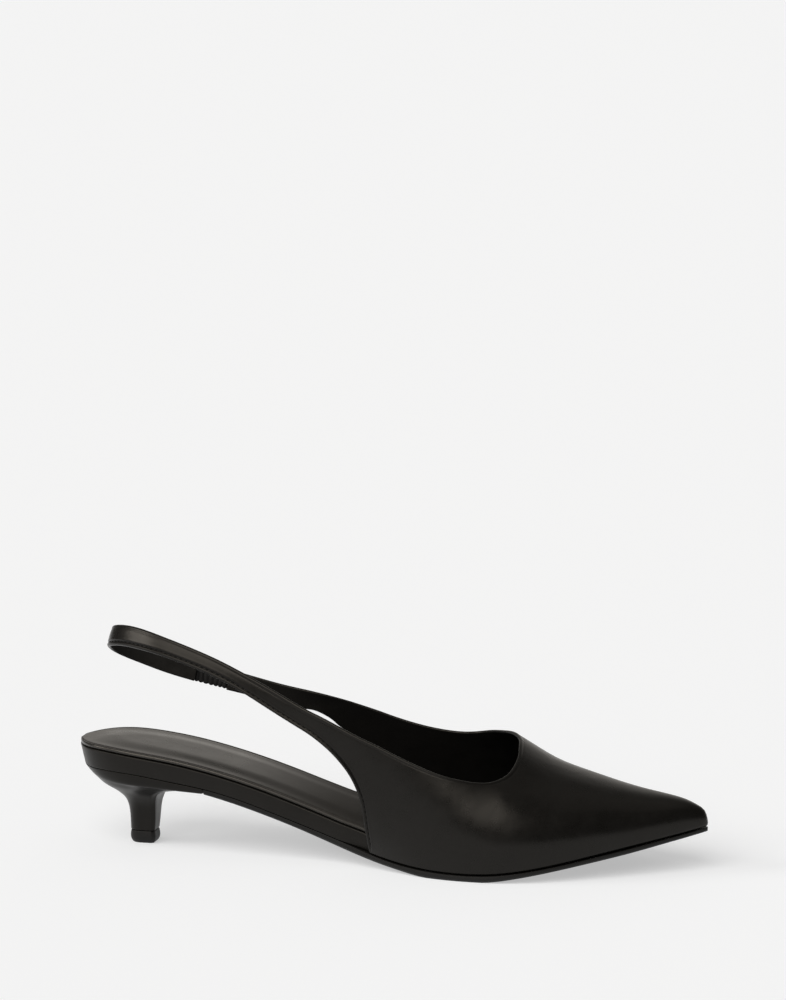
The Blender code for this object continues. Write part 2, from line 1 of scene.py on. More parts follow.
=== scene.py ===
"""Looks of the kitten heel slingback: the fine surfaces, materials, light and camera."""
import json
import math

import bpy
import numpy as np
from mathutils import Matrix, Vector

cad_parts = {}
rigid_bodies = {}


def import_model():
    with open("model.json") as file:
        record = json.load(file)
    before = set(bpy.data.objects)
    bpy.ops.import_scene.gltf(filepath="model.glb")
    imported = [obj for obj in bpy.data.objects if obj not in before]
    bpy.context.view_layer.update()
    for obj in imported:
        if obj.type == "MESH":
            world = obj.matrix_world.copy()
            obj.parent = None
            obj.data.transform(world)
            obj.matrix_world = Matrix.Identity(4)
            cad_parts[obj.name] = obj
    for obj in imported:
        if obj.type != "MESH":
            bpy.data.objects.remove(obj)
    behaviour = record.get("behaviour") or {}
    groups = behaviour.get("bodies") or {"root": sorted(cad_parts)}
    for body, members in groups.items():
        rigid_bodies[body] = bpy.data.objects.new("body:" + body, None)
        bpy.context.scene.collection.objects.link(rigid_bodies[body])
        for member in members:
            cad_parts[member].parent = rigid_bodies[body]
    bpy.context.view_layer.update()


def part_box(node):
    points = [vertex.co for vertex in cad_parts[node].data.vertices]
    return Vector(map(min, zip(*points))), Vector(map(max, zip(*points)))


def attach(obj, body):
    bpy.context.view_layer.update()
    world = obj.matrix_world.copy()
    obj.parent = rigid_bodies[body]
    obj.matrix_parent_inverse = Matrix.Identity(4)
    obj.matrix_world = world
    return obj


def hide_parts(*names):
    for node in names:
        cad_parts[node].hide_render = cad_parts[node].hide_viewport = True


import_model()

# Working frame of the shape tables: millimetres, x from the back of the seat towards the toe,
# y across (lateral side negative, medial side positive), z up from the floor.
HEEL_X = 3.0           # x of the back of the seat
TOE_X = 270.0          # x of the tip of the toe
SEAM_GAP = 0.15        # half of the gap kept between touching pieces
WALL = 1.5             # thickness of the leather wall with its lining
STRAP_WALL = 1.6
SOCK_THICKNESS = 1.7
FLAT_FROM, FLAT_TO = 160.0, 184.0   # the sole lies flat on the floor between these two

# Outline of the bottom, a row per section: half widths at the feather line.
OUTLINE = {
    "x":       (3.0, 6.0, 11.0, 18.0, 27.0, 38.0, 50.0, 70.0, 90.0, 105.0, 118.0, 130.0, 140.0, 150.0, 160.0, 172.0, 182.0, 192.0, 204.0, 216.0, 228.0, 240.0, 251.0, 260.0, 266.0, 270.0),
    "lateral": (0.0, 10.4, 16.6, 20.8, 23.3, 24.0, 23.7, 23.0, 22.3, 22.2, 23.0, 25.4, 28.8, 32.4, 35.6, 38.0, 38.5, 37.9, 34.9, 29.8, 23.4, 16.4, 10.0, 4.6, 0.3, -4.0),
    "medial":  (0.0, 10.4, 16.6, 20.8, 23.2, 23.8, 23.4, 22.6, 22.2, 22.2, 22.8, 24.6, 27.8, 31.6, 35.2, 38.2, 39.4, 39.1, 37.0, 33.0, 27.6, 21.6, 16.0, 11.6, 8.0, 4.0),
}

# Side profile, a row per section: feather line (top face of the sole), underside of the sole,
# and thickness of the wrapped footbed that stands on the sole.
PROFILE = {
    "x":       (0.0, 17.0, 33.0, 48.0, 60.0, 74.0, 88.0, 103.0, 116.0, 126.0, 136.0, 147.0, 160.0, 172.0, 184.0, 195.0, 206.0, 218.0, 230.0, 242.0, 255.0, 270.0),
    "feather": (33.7, 34.5, 33.6, 31.3, 29.3, 26.0, 21.6, 16.4, 12.0, 8.8, 6.1, 4.1, 2.9, 2.6, 2.8, 3.8, 5.4, 7.5, 9.8, 12.1, 14.8, 17.8),
    "sole":    (2.2, 2.4, 2.4, 1.9, 2.2, 2.5, 2.4, 2.4, 2.8, 2.9, 2.6, 2.5, 2.9, 2.6, 2.8, 2.4, 2.1, 2.0, 2.1, 2.1, 1.9, 1.7),
    "footbed": (8.9, 8.35, 7.75, 7.9, 7.5, 7.3, 7.5, 7.6, 7.5, 7.4, 7.0, 6.2, 5.2, 4.4, 3.8, 3.4, 3.1, 3.0, 3.0, 3.0, 3.0, 3.0),
}

# Sections of the last above the feather line: widest half widths, the height (as a part of
# the section) where it is widest, the centre of the crest and the height of the crest.
LAST = {
    "x":       (98.0, 115.0, 130.0, 140.0, 150.0, 160.0, 172.0, 182.0, 192.0, 204.0, 216.0, 228.0, 240.0, 251.0, 260.0, 266.0, 268.4, 269.4, 270.0),
    "lateral": (31.0, 32.9, 34.4, 35.2, 36.4, 37.9, 39.3, 39.6, 38.8, 35.7, 30.6, 24.2, 17.1, 10.7, 5.2, 0.8, -1.2, -2.4, -4.0),
    "medial":  (31.0, 33.1, 34.8, 35.6, 36.6, 38.0, 39.6, 40.6, 40.1, 37.9, 33.8, 28.4, 22.3, 16.7, 12.2, 8.5, 6.7, 5.6, 4.0),
    "widest":  (0.45, 0.38, 0.33, 0.30, 0.27, 0.25, 0.24, 0.24, 0.24, 0.25, 0.26, 0.27, 0.28, 0.30, 0.33, 0.36, 0.38, 0.40, 0.40),
    "square":  (2.2, 2.2, 2.2, 2.2, 2.2, 2.15, 2.0, 1.85, 1.85, 1.9, 1.95, 2.0, 2.05, 2.1, 2.1, 2.1, 2.1, 2.1, 2.1),
    "centre":  (0.5, 0.5, 0.6, 0.7, 0.9, 1.2, 1.6, 2.0, 2.4, 2.8, 3.1, 3.4, 3.7, 3.9, 4.0, 4.0, 4.0, 4.0, 4.0),
    "crest":   (130.0, 125.0, 112.0, 103.0, 93.0, 80.0, 65.5, 57.2, 51.0, 43.8, 39.3, 35.8, 32.8, 30.8, 28.9, 26.4, 24.6, 22.4, 17.9),
}

# Top line of the upper on the last, from the lateral side round the throat to the medial side.
TOPLINE = {
    "x": (112.0, 123.5, 140.5, 149.8, 158.9, 167.9, 175.0, 180.1, 185.1, 189.0, 191.8, 193.3, 193.7, 192.8, 191.3, 185.8, 180.3, 173.3, 162.9, 152.9, 143.4, 134.1, 124.8, 113.0),
    "y": (-31.2, -32.0, -33.0, -34.0, -34.5, -34.5, -34.0, -33.0, -31.0, -28.0, -24.0, -18.0, -11.0, -4.0, 4.0, 15.5, 22.5, 27.5, 32.0, 34.5, 35.0, 34.5, 33.5, 32.0),
    "z": (65.8, 60.4, 53.2, 49.1, 45.4, 42.5, 41.4, 41.2, 41.6, 42.7, 44.7, 46.6, 48.7, 50.8, 52.3, 52.0, 49.6, 46.9, 45.6, 46.4, 48.3, 50.7, 53.6, 57.4),
}

# Rear edge and cut-out on each side, from the feather line upwards.
REAR_LATERAL = {
    "x": (133.7, 133.2, 132.6, 131.5, 129.7, 127.0, 123.4, 119.2, 115.0, 110.7, 106.4),
    "z": (6.5, 17.3, 25.4, 31.6, 36.4, 41.2, 45.9, 49.8, 53.2, 56.1, 58.6),
}
REAR_MEDIAL = {
    "x": (134.0, 133.2, 131.4, 128.2, 123.8, 119.1, 114.7, 110.6, 107.1, 104.4, 101.8),
    "z": (6.7, 14.5, 21.5, 27.5, 32.6, 37.0, 40.8, 44.4, 47.2, 49.4, 51.2),
}

# The two straps, a row per crossing: top edge and bottom edge. The lateral one runs round
# the back of the heel and ends on the medial side, where the elastic takes over.
LATERAL_STRAP = {
    "top_x":    (97.5, 84.5, 71.2, 57.5, 43.6, 33.6, 24.5, 18.8, 16.6, 17.2, 20.6, 27.5, 36.5, 46.8),
    "top_y":    (-30.3, -28.9, -27.0, -24.0, -19.8, -15.0, -9.3, -3.5, 2.5, 8.5, 14.0, 19.0, 22.8, 26.0),
    "top_z":    (72.8, 79.2, 85.0, 89.5, 93.1, 94.8, 94.9, 93.5, 91.4, 88.4, 85.4, 81.8, 77.6, 73.2),
    "bottom_x": (92.0, 80.4, 68.5, 56.0, 42.3, 32.2, 23.0, 16.9, 14.5, 14.6, 17.7, 25.2, 34.6, 45.4),
    "bottom_y": (-30.6, -29.8, -28.6, -26.3, -22.8, -18.2, -12.2, -6.0, 0.3, 6.3, 11.8, 16.5, 20.0, 23.4),
    "bottom_z": (66.3, 72.8, 78.2, 82.2, 85.5, 86.6, 86.4, 84.8, 82.8, 80.1, 76.9, 72.8, 68.7, 65.0),
}
MEDIAL_STRAP = {
    "top_x":    (97.5, 84.0, 71.0, 60.6),
    "top_y":    (30.8, 29.9, 28.6, 27.5),
    "top_z":    (61.4, 64.1, 67.4, 70.2),
    "bottom_x": (91.5, 81.0, 69.5, 59.2),
    "bottom_y": (30.4, 29.2, 27.6, 26.2),
    "bottom_z": (53.7, 56.0, 58.9, 61.3),
}

# Heel, a row per level from the top piece up to the lip under the footbed.
HEEL = {
    "back_x":     (24.1, 24.0, 23.7, 23.1, 22.0, 19.8, 16.6, 12.6, 9.4, 6.8),
    "back_z":     (5.5, 9.5, 14.0, 17.0, 19.5, 21.9, 24.2, 26.6, 29.4, 31.8),
    "front_x":    (35.4, 35.8, 36.1, 36.4, 37.0, 38.6, 43.0, 49.0, 56.0, 61.4),
    "front_z":    (5.5, 9.5, 14.0, 17.0, 19.5, 22.4, 24.7, 26.2, 26.9, 26.8),
    "half_width": (4.5, 5.0, 5.7, 6.7, 8.3, 10.9, 14.4, 17.9, 20.9, 22.6),
    "seat_like":  (0.0, 0.0, 0.0, 0.0, 0.05, 0.15, 0.35, 0.6, 0.85, 0.97),
}
HEEL_FRONT = 62.0      # front end of the heel's lip, where the sole begins
TIP = {"back_x": (25.0, 24.4, 24.2, 24.3), "front_x": (34.8, 35.3, 35.4, 35.3), "half_width": (3.8, 4.3, 4.45, 4.4), "z": (0.0, 0.8, 4.8, 5.2)}


def natural_spline(knots, values):
    """A natural cubic spline through rows of values, as a function of the knot coordinate."""
    knots = np.asarray(knots, float)
    values = np.asarray(values, float)
    flat = values.reshape(len(knots), -1)
    n = len(knots)
    h = np.diff(knots)
    system = np.zeros((n, n))
    right = np.zeros((n, flat.shape[1]))
    system[0, 0] = system[-1, -1] = 1.0
    for i in range(1, n - 1):
        system[i, i - 1], system[i, i], system[i, i + 1] = h[i - 1], 2 * (h[i - 1] + h[i]), h[i]
        right[i] = 6 * ((flat[i + 1] - flat[i]) / h[i] - (flat[i] - flat[i - 1]) / h[i - 1])
    second = np.linalg.solve(system, right)

    def at(where):
        where = np.asarray(where, float)
        shape = where.shape
        w = np.clip(where.ravel(), knots[0], knots[-1])
        i = np.clip(np.searchsorted(knots, w, side="right") - 1, 0, n - 2)
        step = h[i][:, None]
        a = (knots[i + 1] - w)[:, None] / step
        b = 1.0 - a
        out = (a * flat[i] + b * flat[i + 1]
               + ((a ** 3 - a) * second[i] + (b ** 3 - b) * second[i + 1]) * step ** 2 / 6)
        return out.reshape(shape + values.shape[1:])

    return at


def length_angle(x, start=HEEL_X, end=TOE_X):
    """Turns x into an angle that runs evenly round both rounded ends of an outline."""
    return np.arccos(np.clip(1 - 2 * (np.asarray(x, float) - start) / (end - start), -1, 1))


def table(rows, column, key="x"):
    return natural_spline(length_angle(rows[key]), rows[column])


outline_lateral = table(OUTLINE, "lateral")
outline_medial = table(OUTLINE, "medial")
feather_height = natural_spline(PROFILE["x"], PROFILE["feather"])
footbed_thickness = natural_spline(PROFILE["x"], PROFILE["footbed"])
sole_thickness = natural_spline(PROFILE["x"], PROFILE["sole"])

_nose = [math.sqrt(TOE_X - x) for x in LAST["x"]][::-1]
_last = {name: natural_spline(_nose, LAST[name][::-1]) for name in LAST if name != "x"}


def sole_bottom(x):
    """Underside of the sole: flat on the floor between FLAT_FROM and FLAT_TO."""
    x = np.asarray(x, float)
    z = feather_height(x) - sole_thickness(x)
    flat = (x >= FLAT_FROM - 1e-6) & (x <= FLAT_TO + 1e-6)
    return np.where(flat, 0.0, np.maximum(z, 0.0))


CREST_SHARE = 0.25     # part of the girth below the widest point


def last_surface(e, girth):
    """Point of the last. e is the root of the distance from the toe, girth runs from 0 at the
    lateral feather line over the crest to 1 at the medial feather line."""
    e = np.abs(np.asarray(e, float))
    girth = np.asarray(girth, float)
    x = TOE_X - e ** 2
    angle = length_angle(x)
    medial = girth > 0.5
    share = np.where(medial, 1 - girth, girth) * 2
    centre = _last["centre"](e)
    base = np.where(medial, outline_medial(angle) - centre, outline_lateral(angle) + centre)
    wide = np.where(medial, _last["medial"](e) - centre, _last["lateral"](e) + centre)
    base = np.maximum(base, 0)
    wide = np.maximum(wide, 0)
    low = feather_height(x) + SEAM_GAP
    height = np.maximum(_last["crest"](e) - low, 0)
    part = _last["widest"](e)
    below = np.clip(share / CREST_SHARE, 0, 1)
    above = np.clip((share - CREST_SHARE) / (1 - CREST_SHARE), 0, 1) * (math.pi / 2)
    squareness = _last["square"](e)
    radius = (np.abs(np.cos(above)) ** squareness + np.abs(np.sin(above)) ** squareness) ** (-1 / squareness)
    up = np.where(share <= CREST_SHARE, part * below, part + (1 - part) * radius * np.sin(above))
    across = np.where(share <= CREST_SHARE, wide - (wide - base) * (1 - below) ** 2, wide * radius * np.cos(above))
    y = np.where(medial, centre + across, centre - across)
    return np.stack([x, y, low + height * up], axis=-1)


def girth_of(x, y, z):
    """The girth coordinate of the point of the last nearest to a given point of the same section."""
    tries = np.linspace(0, 1, 801)
    e = np.full(tries.shape, math.sqrt(max(TOE_X - x, 0)))
    points = last_surface(e, tries)
    return float(tries[np.argmin((points[:, 1] - y) ** 2 + (points[:, 2] - z) ** 2)])


def girth_at_height(x, z, medial):
    """The girth coordinate on one side at a given height, below the crest."""
    tries = np.linspace(0.5, 1, 601) if medial else np.linspace(0, 0.5, 601)
    e = np.full(tries.shape, math.sqrt(TOE_X - x))
    heights = last_surface(e, tries)[:, 2]
    return float(tries[np.argmin(np.abs(heights - z))])


def to_plane(x, girth):
    """The half plane around the toe tip in which the upper's grid is laid out."""
    e = math.sqrt(TOE_X - x)
    return e * math.cos(math.pi * girth), e * math.sin(math.pi * girth)


def from_plane(points):
    e = np.hypot(points[..., 0], points[..., 1])
    girth = np.arctan2(points[..., 1], points[..., 0]) / math.pi
    return last_surface(e, np.clip(girth, 0, 1))


def along(points):
    """Running length of a polyline, scaled to end at 1."""
    steps = np.linalg.norm(np.diff(np.asarray(points, float), axis=0), axis=1)
    total = np.concatenate([[0], np.cumsum(steps)])
    return total / total[-1]


def topline_curve():
    pts = []
    for x, y, z in zip(TOPLINE["x"], TOPLINE["y"], TOPLINE["z"]):
        pts.append(to_plane(x, girth_of(x, y, z)))
    pts = np.array(pts)
    share = along(from_plane(pts))
    return natural_spline(share, pts), share


def rear_curve(rows, medial):
    pts = []
    for i, (x, z) in enumerate(zip(rows["x"], rows["z"])):
        girth = (1.0 if medial else 0.0) if i == 0 else girth_at_height(x, z, medial)
        pts.append(to_plane(x, girth))
    pts = np.array(pts)
    return natural_spline(along(from_plane(pts)), pts)


def even(count, start, stop):
    return np.linspace(start, stop, count + 1)


def body_columns(n_rear, n_side):
    """Bottom and top point, in the grid plane, of each column of the body of the upper, from
    the lateral cut-out round the toe to the medial cut-out."""
    top, top_share = topline_curve()
    rear_lateral = rear_curve(REAR_LATERAL, False)
    rear_medial = rear_curve(REAR_MEDIAL, True)
    lateral_corner = rear_lateral(0.0)
    medial_corner = rear_medial(0.0)
    at_corner_lateral = top_share[4] * 0.55 + top_share[3] * 0.45
    at_centre = top_share[13] * 0.1 + top_share[14] * 0.9
    at_corner_medial = top_share[19] * 0.6 + top_share[20] * 0.4
    bottoms, tops = [], []
    for k in even(n_rear, 0, 1)[:-1]:
        bottoms.append(rear_lateral(1 - k))
        tops.append(top(k * at_corner_lateral))
    for k in even(n_side, 0, 1)[:-1]:
        ease = k
        bottoms.append(lateral_corner * (1 - ease))
        tops.append(top(at_corner_lateral + (at_centre - at_corner_lateral) * k))
    for k in even(n_side, 0, 1)[:-1]:
        bottoms.append(medial_corner * k)
        tops.append(top(at_centre + (at_corner_medial - at_centre) * k))
    for k in even(n_rear, 0, 1):
        bottoms.append(rear_medial(k))
        tops.append(top(at_corner_medial + (1 - at_corner_medial) * k))
    return np.array(bottoms), np.array(tops)


def row_shares(n_rows):
    """Rows from the bottom edge (0) to the top edge (1), a little closer at the edges."""
    k = even(n_rows, 0, 1)
    return k - 0.055 * np.sin(2 * math.pi * k)


def strap_rows(rows, shares, bulge):
    top = np.stack([rows["top_x"], rows["top_y"], rows["top_z"]], axis=-1)
    bottom = np.stack([rows["bottom_x"], rows["bottom_y"], rows["bottom_z"]], axis=-1)
    s = np.asarray(shares)[None, :, None]
    flat = bottom[:, None, :] * (1 - s) + top[:, None, :] * s
    path = (top + bottom) / 2
    forward = np.gradient(path, axis=0)
    out = np.cross(forward, top - bottom)
    out /= np.linalg.norm(out, axis=1, keepdims=True)
    return flat, out[:, None, :] * (4 * s * (1 - s)) * bulge


def upper_surface(n_rear=12, n_side=24, n_strap=34, n_tab=10, n_rows=8):
    """Outer face of the upper as a grid of points, from the strap's end on the medial side,
    round the back of the heel, along the lateral side, round the toe and back to the end of
    the medial strap. Columns run along it, rows from the bottom edge to the top edge."""
    shares = row_shares(n_rows)
    bottoms, tops = body_columns(n_rear, n_side)
    s = shares[None, :, None]
    body = from_plane(bottoms[:, None, :] * (1 - s) + tops[:, None, :] * s)
    lateral, bulge = strap_rows(LATERAL_STRAP, shares, 0.35)
    lateral = (lateral - bulge)[::-1]
    medial, bulge = strap_rows(MEDIAL_STRAP, shares, 0.3)
    medial = medial + bulge

    def joined(strap, near, count):
        """Strap rows carried smoothly on to the first columns of the body."""
        keys = np.concatenate([strap, near[:4]], axis=0)
        middle = keys[:, keys.shape[1] // 2]
        knots = np.concatenate([[0], np.cumsum(np.linalg.norm(np.diff(middle, axis=0), axis=1))])
        curve = natural_spline(knots, keys)
        return curve(even(count, 0, knots[len(strap)]))[:-1]

    left = joined(lateral, body, n_strap)
    right = joined(medial[::-1], body[::-1], n_tab)[::-1]
    return np.concatenate([left, body, right], axis=0)


def grid_normals(grid):
    """Unit normals of a grid of points, pointing out of the shoe."""
    du = np.gradient(grid, axis=0)
    dv = np.gradient(grid, axis=1)
    normal = np.cross(du, dv)
    size = np.linalg.norm(normal, axis=2, keepdims=True)
    return normal / np.maximum(size, 1e-9)


def ease(x, start, stop):
    """Rises smoothly from 0 at start to 1 at stop."""
    t = np.clip((np.asarray(x, float) - start) / (stop - start), 0, 1)
    return t * t * (3 - 2 * t)


def half_widths(x, margin):
    """Lateral and medial edge of the outline at x, moved outwards by the margin."""
    angle = length_angle(x)
    return -(outline_lateral(angle) + margin), outline_medial(angle) + margin


def upper_solid(*counts):
    """Outer and inner face of the hollow upper."""
    outer = upper_surface(*counts)
    normal = grid_normals(outer)
    inner = outer - normal * WALL
    floor = feather_height(inner[..., 0]) + SEAM_GAP
    body = inner[..., 0] > 120
    inner[..., 2] = np.where(body, np.maximum(inner[..., 2], floor), inner[..., 2])
    return outer, inner


def sole_loops(stations=44):
    """Loops of the sole from the heel's lip to the tip, flat on the floor in the middle."""
    edge, end = 0.6, TOE_X - 0.15
    roots = np.linspace(math.sqrt(end - HEEL_FRONT - 2 * SEAM_GAP), 0.2, stations)
    stops = np.sqrt(end - np.array([FLAT_FROM, FLAT_TO]))
    for stop in stops:
        roots[np.argmin(np.abs(roots - stop))] = stop
    loops = []
    for root in roots:
        x = end - root ** 2
        on_last = min(TOE_X - 1e-6, x)
        margin = -0.3 + (edge + 0.3) * float(ease(x, 120, 145)) - (edge - 0.1) * float(ease(x, 235, 266))
        margin -= SEAT_LEAN_SIDE * (1 - float(ease(x, 62, 100)))
        lateral, medial = half_widths(on_last, margin)
        lateral, medial = float(lateral), float(medial)
        top = float(feather_height(min(x, TOE_X))) - SEAM_GAP
        low = float(sole_bottom(min(x, TOE_X)))
        middle, half = (lateral + medial) / 2, (medial - lateral) / 2
        bevel = min(0.7, half * 0.5)
        loop = [(x, middle + half * s, top) for s in (-1.0, -0.5, 0.0, 0.5, 1.0)]
        loop += [(x, middle + half, low + (top - low) * 0.35)]
        loop += [(x, middle + (half - bevel) * s, low) for s in (1.0, 0.5, 0.0, -0.5, -1.0)]
        loop += [(x, middle - half, low + (top - low) * 0.35)]
        loops.append(loop)
    return np.array(loops)


def footbed_margin(x):
    """The footbed is flush with the outline behind the upper and fits inside it in front."""
    return -0.1 - 2.25 * ease(x, 119, 133)


FOOTBED_TOE = 265.5
SOCK_EDGE = 0.45


def bed_stations(count, start, stop):
    angle = np.linspace(float(length_angle(start)), float(length_angle(stop)), count)
    return HEEL_X + (TOE_X - HEEL_X) * (1 - np.cos(angle)) / 2


SEAT_LEAN_BACK = 1.7   # the footbed's wall leans in under the seat: at the back, and at the sides
SEAT_LEAN_SIDE = 0.8


def lean(loop, low, top):
    """Moves the lower part of a loop of the footbed inwards where the heel takes it up."""
    loop = np.array(loop, float)
    share = np.clip((top - loop[:, 2]) / (top - low), 0, 1)
    middle = (loop[:, 1].min() + loop[:, 1].max()) / 2
    half = max((loop[:, 1].max() - loop[:, 1].min()) / 2, 1e-6)
    side = min(SEAT_LEAN_SIDE * (1 - float(ease(loop[0, 0], 62, 100))), 0.3 * half)
    back = SEAT_LEAN_BACK * (1 - float(ease(loop[0, 0], HEEL_X, 32)))
    loop[:, 1] = middle + (loop[:, 1] - middle) * (1 - side * share / half)
    loop[:, 0] += back * share
    return loop


def footbed_loops(stations=46):
    """Loops of the wrapped footbed, its side wall showing from the heel to the upper."""
    loops = []
    for x in bed_stations(stations, HEEL_X + 0.06, FOOTBED_TOE):
        lateral, medial = (float(v) for v in half_widths(x, footbed_margin(x)))
        low = float(feather_height(x)) + SEAM_GAP
        top = float(feather_height(x) + footbed_thickness(x)) - SEAM_GAP
        middle, half = (lateral + medial) / 2, (medial - lateral) / 2
        r = min(0.7, half * 0.4)
        side = [(half - r, low), (half, low + r), (half, top - r), (half - r, top)]
        across = [(half * 0.45, top), (0.0, top), (-half * 0.45, top)]
        loop = [(x, middle + y, z) for y, z in side + across]
        loop += [(x, middle - y, z) for y, z in side[::-1]]
        loop += [(x, middle, low)]
        loops.append(lean(loop, low, top))
    return np.array(loops)


def sock_loops(stations=46):
    """Loops of the padded sock on the footbed: rounded rim, slightly fuller in the middle."""
    loops = []
    for x in bed_stations(stations, HEEL_X + 0.5, FOOTBED_TOE - 0.8):
        lateral, medial = (float(v) for v in half_widths(x, footbed_margin(x) - SOCK_EDGE))
        low = float(feather_height(x) + footbed_thickness(x)) + SEAM_GAP
        middle, half = (lateral + medial) / 2, (medial - lateral) / 2
        r = min(0.9, half * 0.4)
        t = SOCK_THICKNESS
        side = [(half - 0.2 * r, low), (half, low + 0.4 * t), (half - 0.45 * r, low + 0.8 * t), (half - 1.4 * r, low + t)]
        across = [(half * 0.5, low + t + 0.25), (0.0, low + t + 0.35), (-half * 0.5, low + t + 0.25)]
        loop = [(x, middle + y, z) for y, z in side + across]
        loop += [(x, middle - y, z) for y, z in side[::-1]]
        loop += [(x, middle, low)]
        loops.append(loop)
    return np.array(loops)


def d_shape(u):
    """Half width of a D, rounded at the back (0) and straight at the front (1)."""
    round_part = 0.46
    back = np.sqrt(np.clip(1 - ((round_part - np.minimum(u, round_part)) / round_part) ** 2, 0, 1))
    return back * (1 - 0.16 * ease(u, 0.86, 1.0))


def ring(back_x, front_x, half, height, blend, count=13):
    """One level of the heel: from the lateral front corner round the back to the medial one."""
    u = (1 - np.cos(np.linspace(0, math.pi, count))) / 2
    u = 0.5 * u + 0.5 * np.linspace(0, 1, count) ** 1.6
    x = back_x + (front_x - back_x) * u
    seat_x = HEEL_X + 0.2 + (HEEL_FRONT - HEEL_X - 0.2) * u
    lateral, medial = half_widths(seat_x, -0.2 - SEAT_LEAN_SIDE)
    widest = 23.6
    near = -half * ((1 - blend) * d_shape(u) - blend * lateral / widest)
    far = half * ((1 - blend) * d_shape(u) + blend * medial / widest)
    z = height(x, u)
    side = np.stack([x, near, z], axis=-1)[::-1]
    other = np.stack([x, far, z], axis=-1)[1:]
    front = np.stack([np.full(3, x[-1]), np.array([0.5, 0.0, -0.5]) * (far[-1] - near[-1]) / 2 + (far[-1] + near[-1]) / 2,
                      np.full(3, z[-1])], axis=-1)
    return np.concatenate([side, other, front])


def heel_loops(count=13):
    loops = []
    for i in range(len(HEEL["back_x"])):
        row = {name: HEEL[name][i] for name in HEEL}
        loops.append(ring(row["back_x"], row["front_x"], row["half_width"],
                          lambda x, u: row["back_z"] + (row["front_z"] - row["back_z"]) * u, row["seat_like"], count))
    loops.append(ring(HEEL_X + 0.2 + SEAT_LEAN_BACK, HEEL_FRONT, 23.6, lambda x, u: feather_height(x) - SEAM_GAP, 1.0, count))
    return np.array(loops)


def tip_loops(count=13):
    loops = []
    for i in range(len(TIP["z"])):
        z = TIP["z"][i]
        loops.append(ring(TIP["back_x"][i], TIP["front_x"][i], TIP["half_width"][i], lambda x, u: x * 0 + z, 0.0, count))
    return np.array(loops)


ELASTIC_WALL = 1.1
ELASTIC_RUFFLES = 7


def elastic_solid(columns=22, rows=4):
    """The gathered elastic between the strap's end and the medial strap's end."""
    def edge(name):
        a = np.array([LATERAL_STRAP[name + "_" + c][-1] for c in "xyz"])
        before = np.array([LATERAL_STRAP[name + "_" + c][-2] for c in "xyz"])
        b = np.array([MEDIAL_STRAP[name + "_" + c][-1] for c in "xyz"])
        after = np.array([MEDIAL_STRAP[name + "_" + c][-2] for c in "xyz"])
        knots = np.concatenate([[0], np.cumsum([np.linalg.norm(a - before), np.linalg.norm(b - a), np.linalg.norm(after - b)])])
        curve = natural_spline(knots, np.array([before, a, b, after]))
        gap = 2 * SEAM_GAP
        return curve(np.linspace(knots[1] + gap, knots[2] - gap, columns))
    top, bottom = edge("top"), edge("bottom")
    share = np.linspace(0.03, 0.97, rows)[None, :, None]
    middle = bottom[:, None] * (1 - share) + top[:, None] * share
    wave = np.sin(np.linspace(0, 2 * math.pi * ELASTIC_RUFFLES, columns))
    up = (top - bottom) / np.linalg.norm(top - bottom, axis=1, keepdims=True)
    stretch = np.linspace(-1, 1, rows)[None, :, None]
    middle = middle + up[:, None] * stretch ** 3 * 0.25 * wave[:, None, None]
    normal = grid_normals(middle)
    inwards = -normal
    skin = STRAP_WALL / 2
    centre = middle - inwards * skin
    half = ELASTIC_WALL / 2
    return centre, inwards, half


# ---------------------------------------------------------------------------------------------
# The shoe itself, built finely from the functions above and set into the CAD frame.

bpy.context.scene.render.film_transparent = False
for leftover in [o for o in bpy.data.objects if o.name in ("Cube", "Light", "Camera")]:
    bpy.data.objects.remove(leftover)

_lowest = heel_loops().reshape(-1, 3).min(axis=0)
ORIGIN = _lowest - np.array(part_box("heel")[0]) * 1000.0     # table point at the frame's origin


def place(points):
    """Table millimetres to the frame's metres."""
    return (np.asarray(points, float) - ORIGIN) / 1000.0


def smoothstep(t):
    t = np.clip(t, 0, 1)
    return t * t * (3 - 2 * t)


def hump(value, centre, width):
    return np.exp(-((value - centre) / width) ** 2)


# ---- materials ------------------------------------------------------------------------------

def new_material(name):
    material = bpy.data.materials.new(name)
    material.use_nodes = True
    tree = material.node_tree
    return material, tree, tree.nodes["Principled BSDF"]


def node(tree, kind, **values):
    made = tree.nodes.new(kind)
    for key, value in values.items():
        if key in made.inputs:
            made.inputs[key].default_value = value
        else:
            setattr(made, key, value)
    return made


def noise(tree, where, scale, detail=3.0, rough=0.5):
    made = node(tree, "ShaderNodeTexNoise")
    made.inputs["Scale"].default_value = scale
    made.inputs["Detail"].default_value = detail
    made.inputs["Roughness"].default_value = rough
    tree.links.new(where, made.inputs["Vector"])
    return made.outputs["Fac"]


def ramp(tree, factor, stops):
    made = node(tree, "ShaderNodeValToRGB")
    made.color_ramp.elements[0].position = stops[0][0]
    made.color_ramp.elements[0].color = (*stops[0][1], 1)
    made.color_ramp.elements[1].position = stops[-1][0]
    made.color_ramp.elements[1].color = (*stops[-1][1], 1)
    for position, colour in stops[1:-1]:
        made.color_ramp.elements.new(position).color = (*colour, 1)
    tree.links.new(factor, made.inputs["Fac"])
    return made.outputs["Color"]


def span(tree, factor, low, high, start=0.3, stop=0.7):
    made = node(tree, "ShaderNodeMapRange")
    made.inputs["From Min"].default_value = start
    made.inputs["From Max"].default_value = stop
    made.inputs["To Min"].default_value = low
    made.inputs["To Max"].default_value = high
    tree.links.new(factor, made.inputs["Value"])
    return made.outputs["Result"]


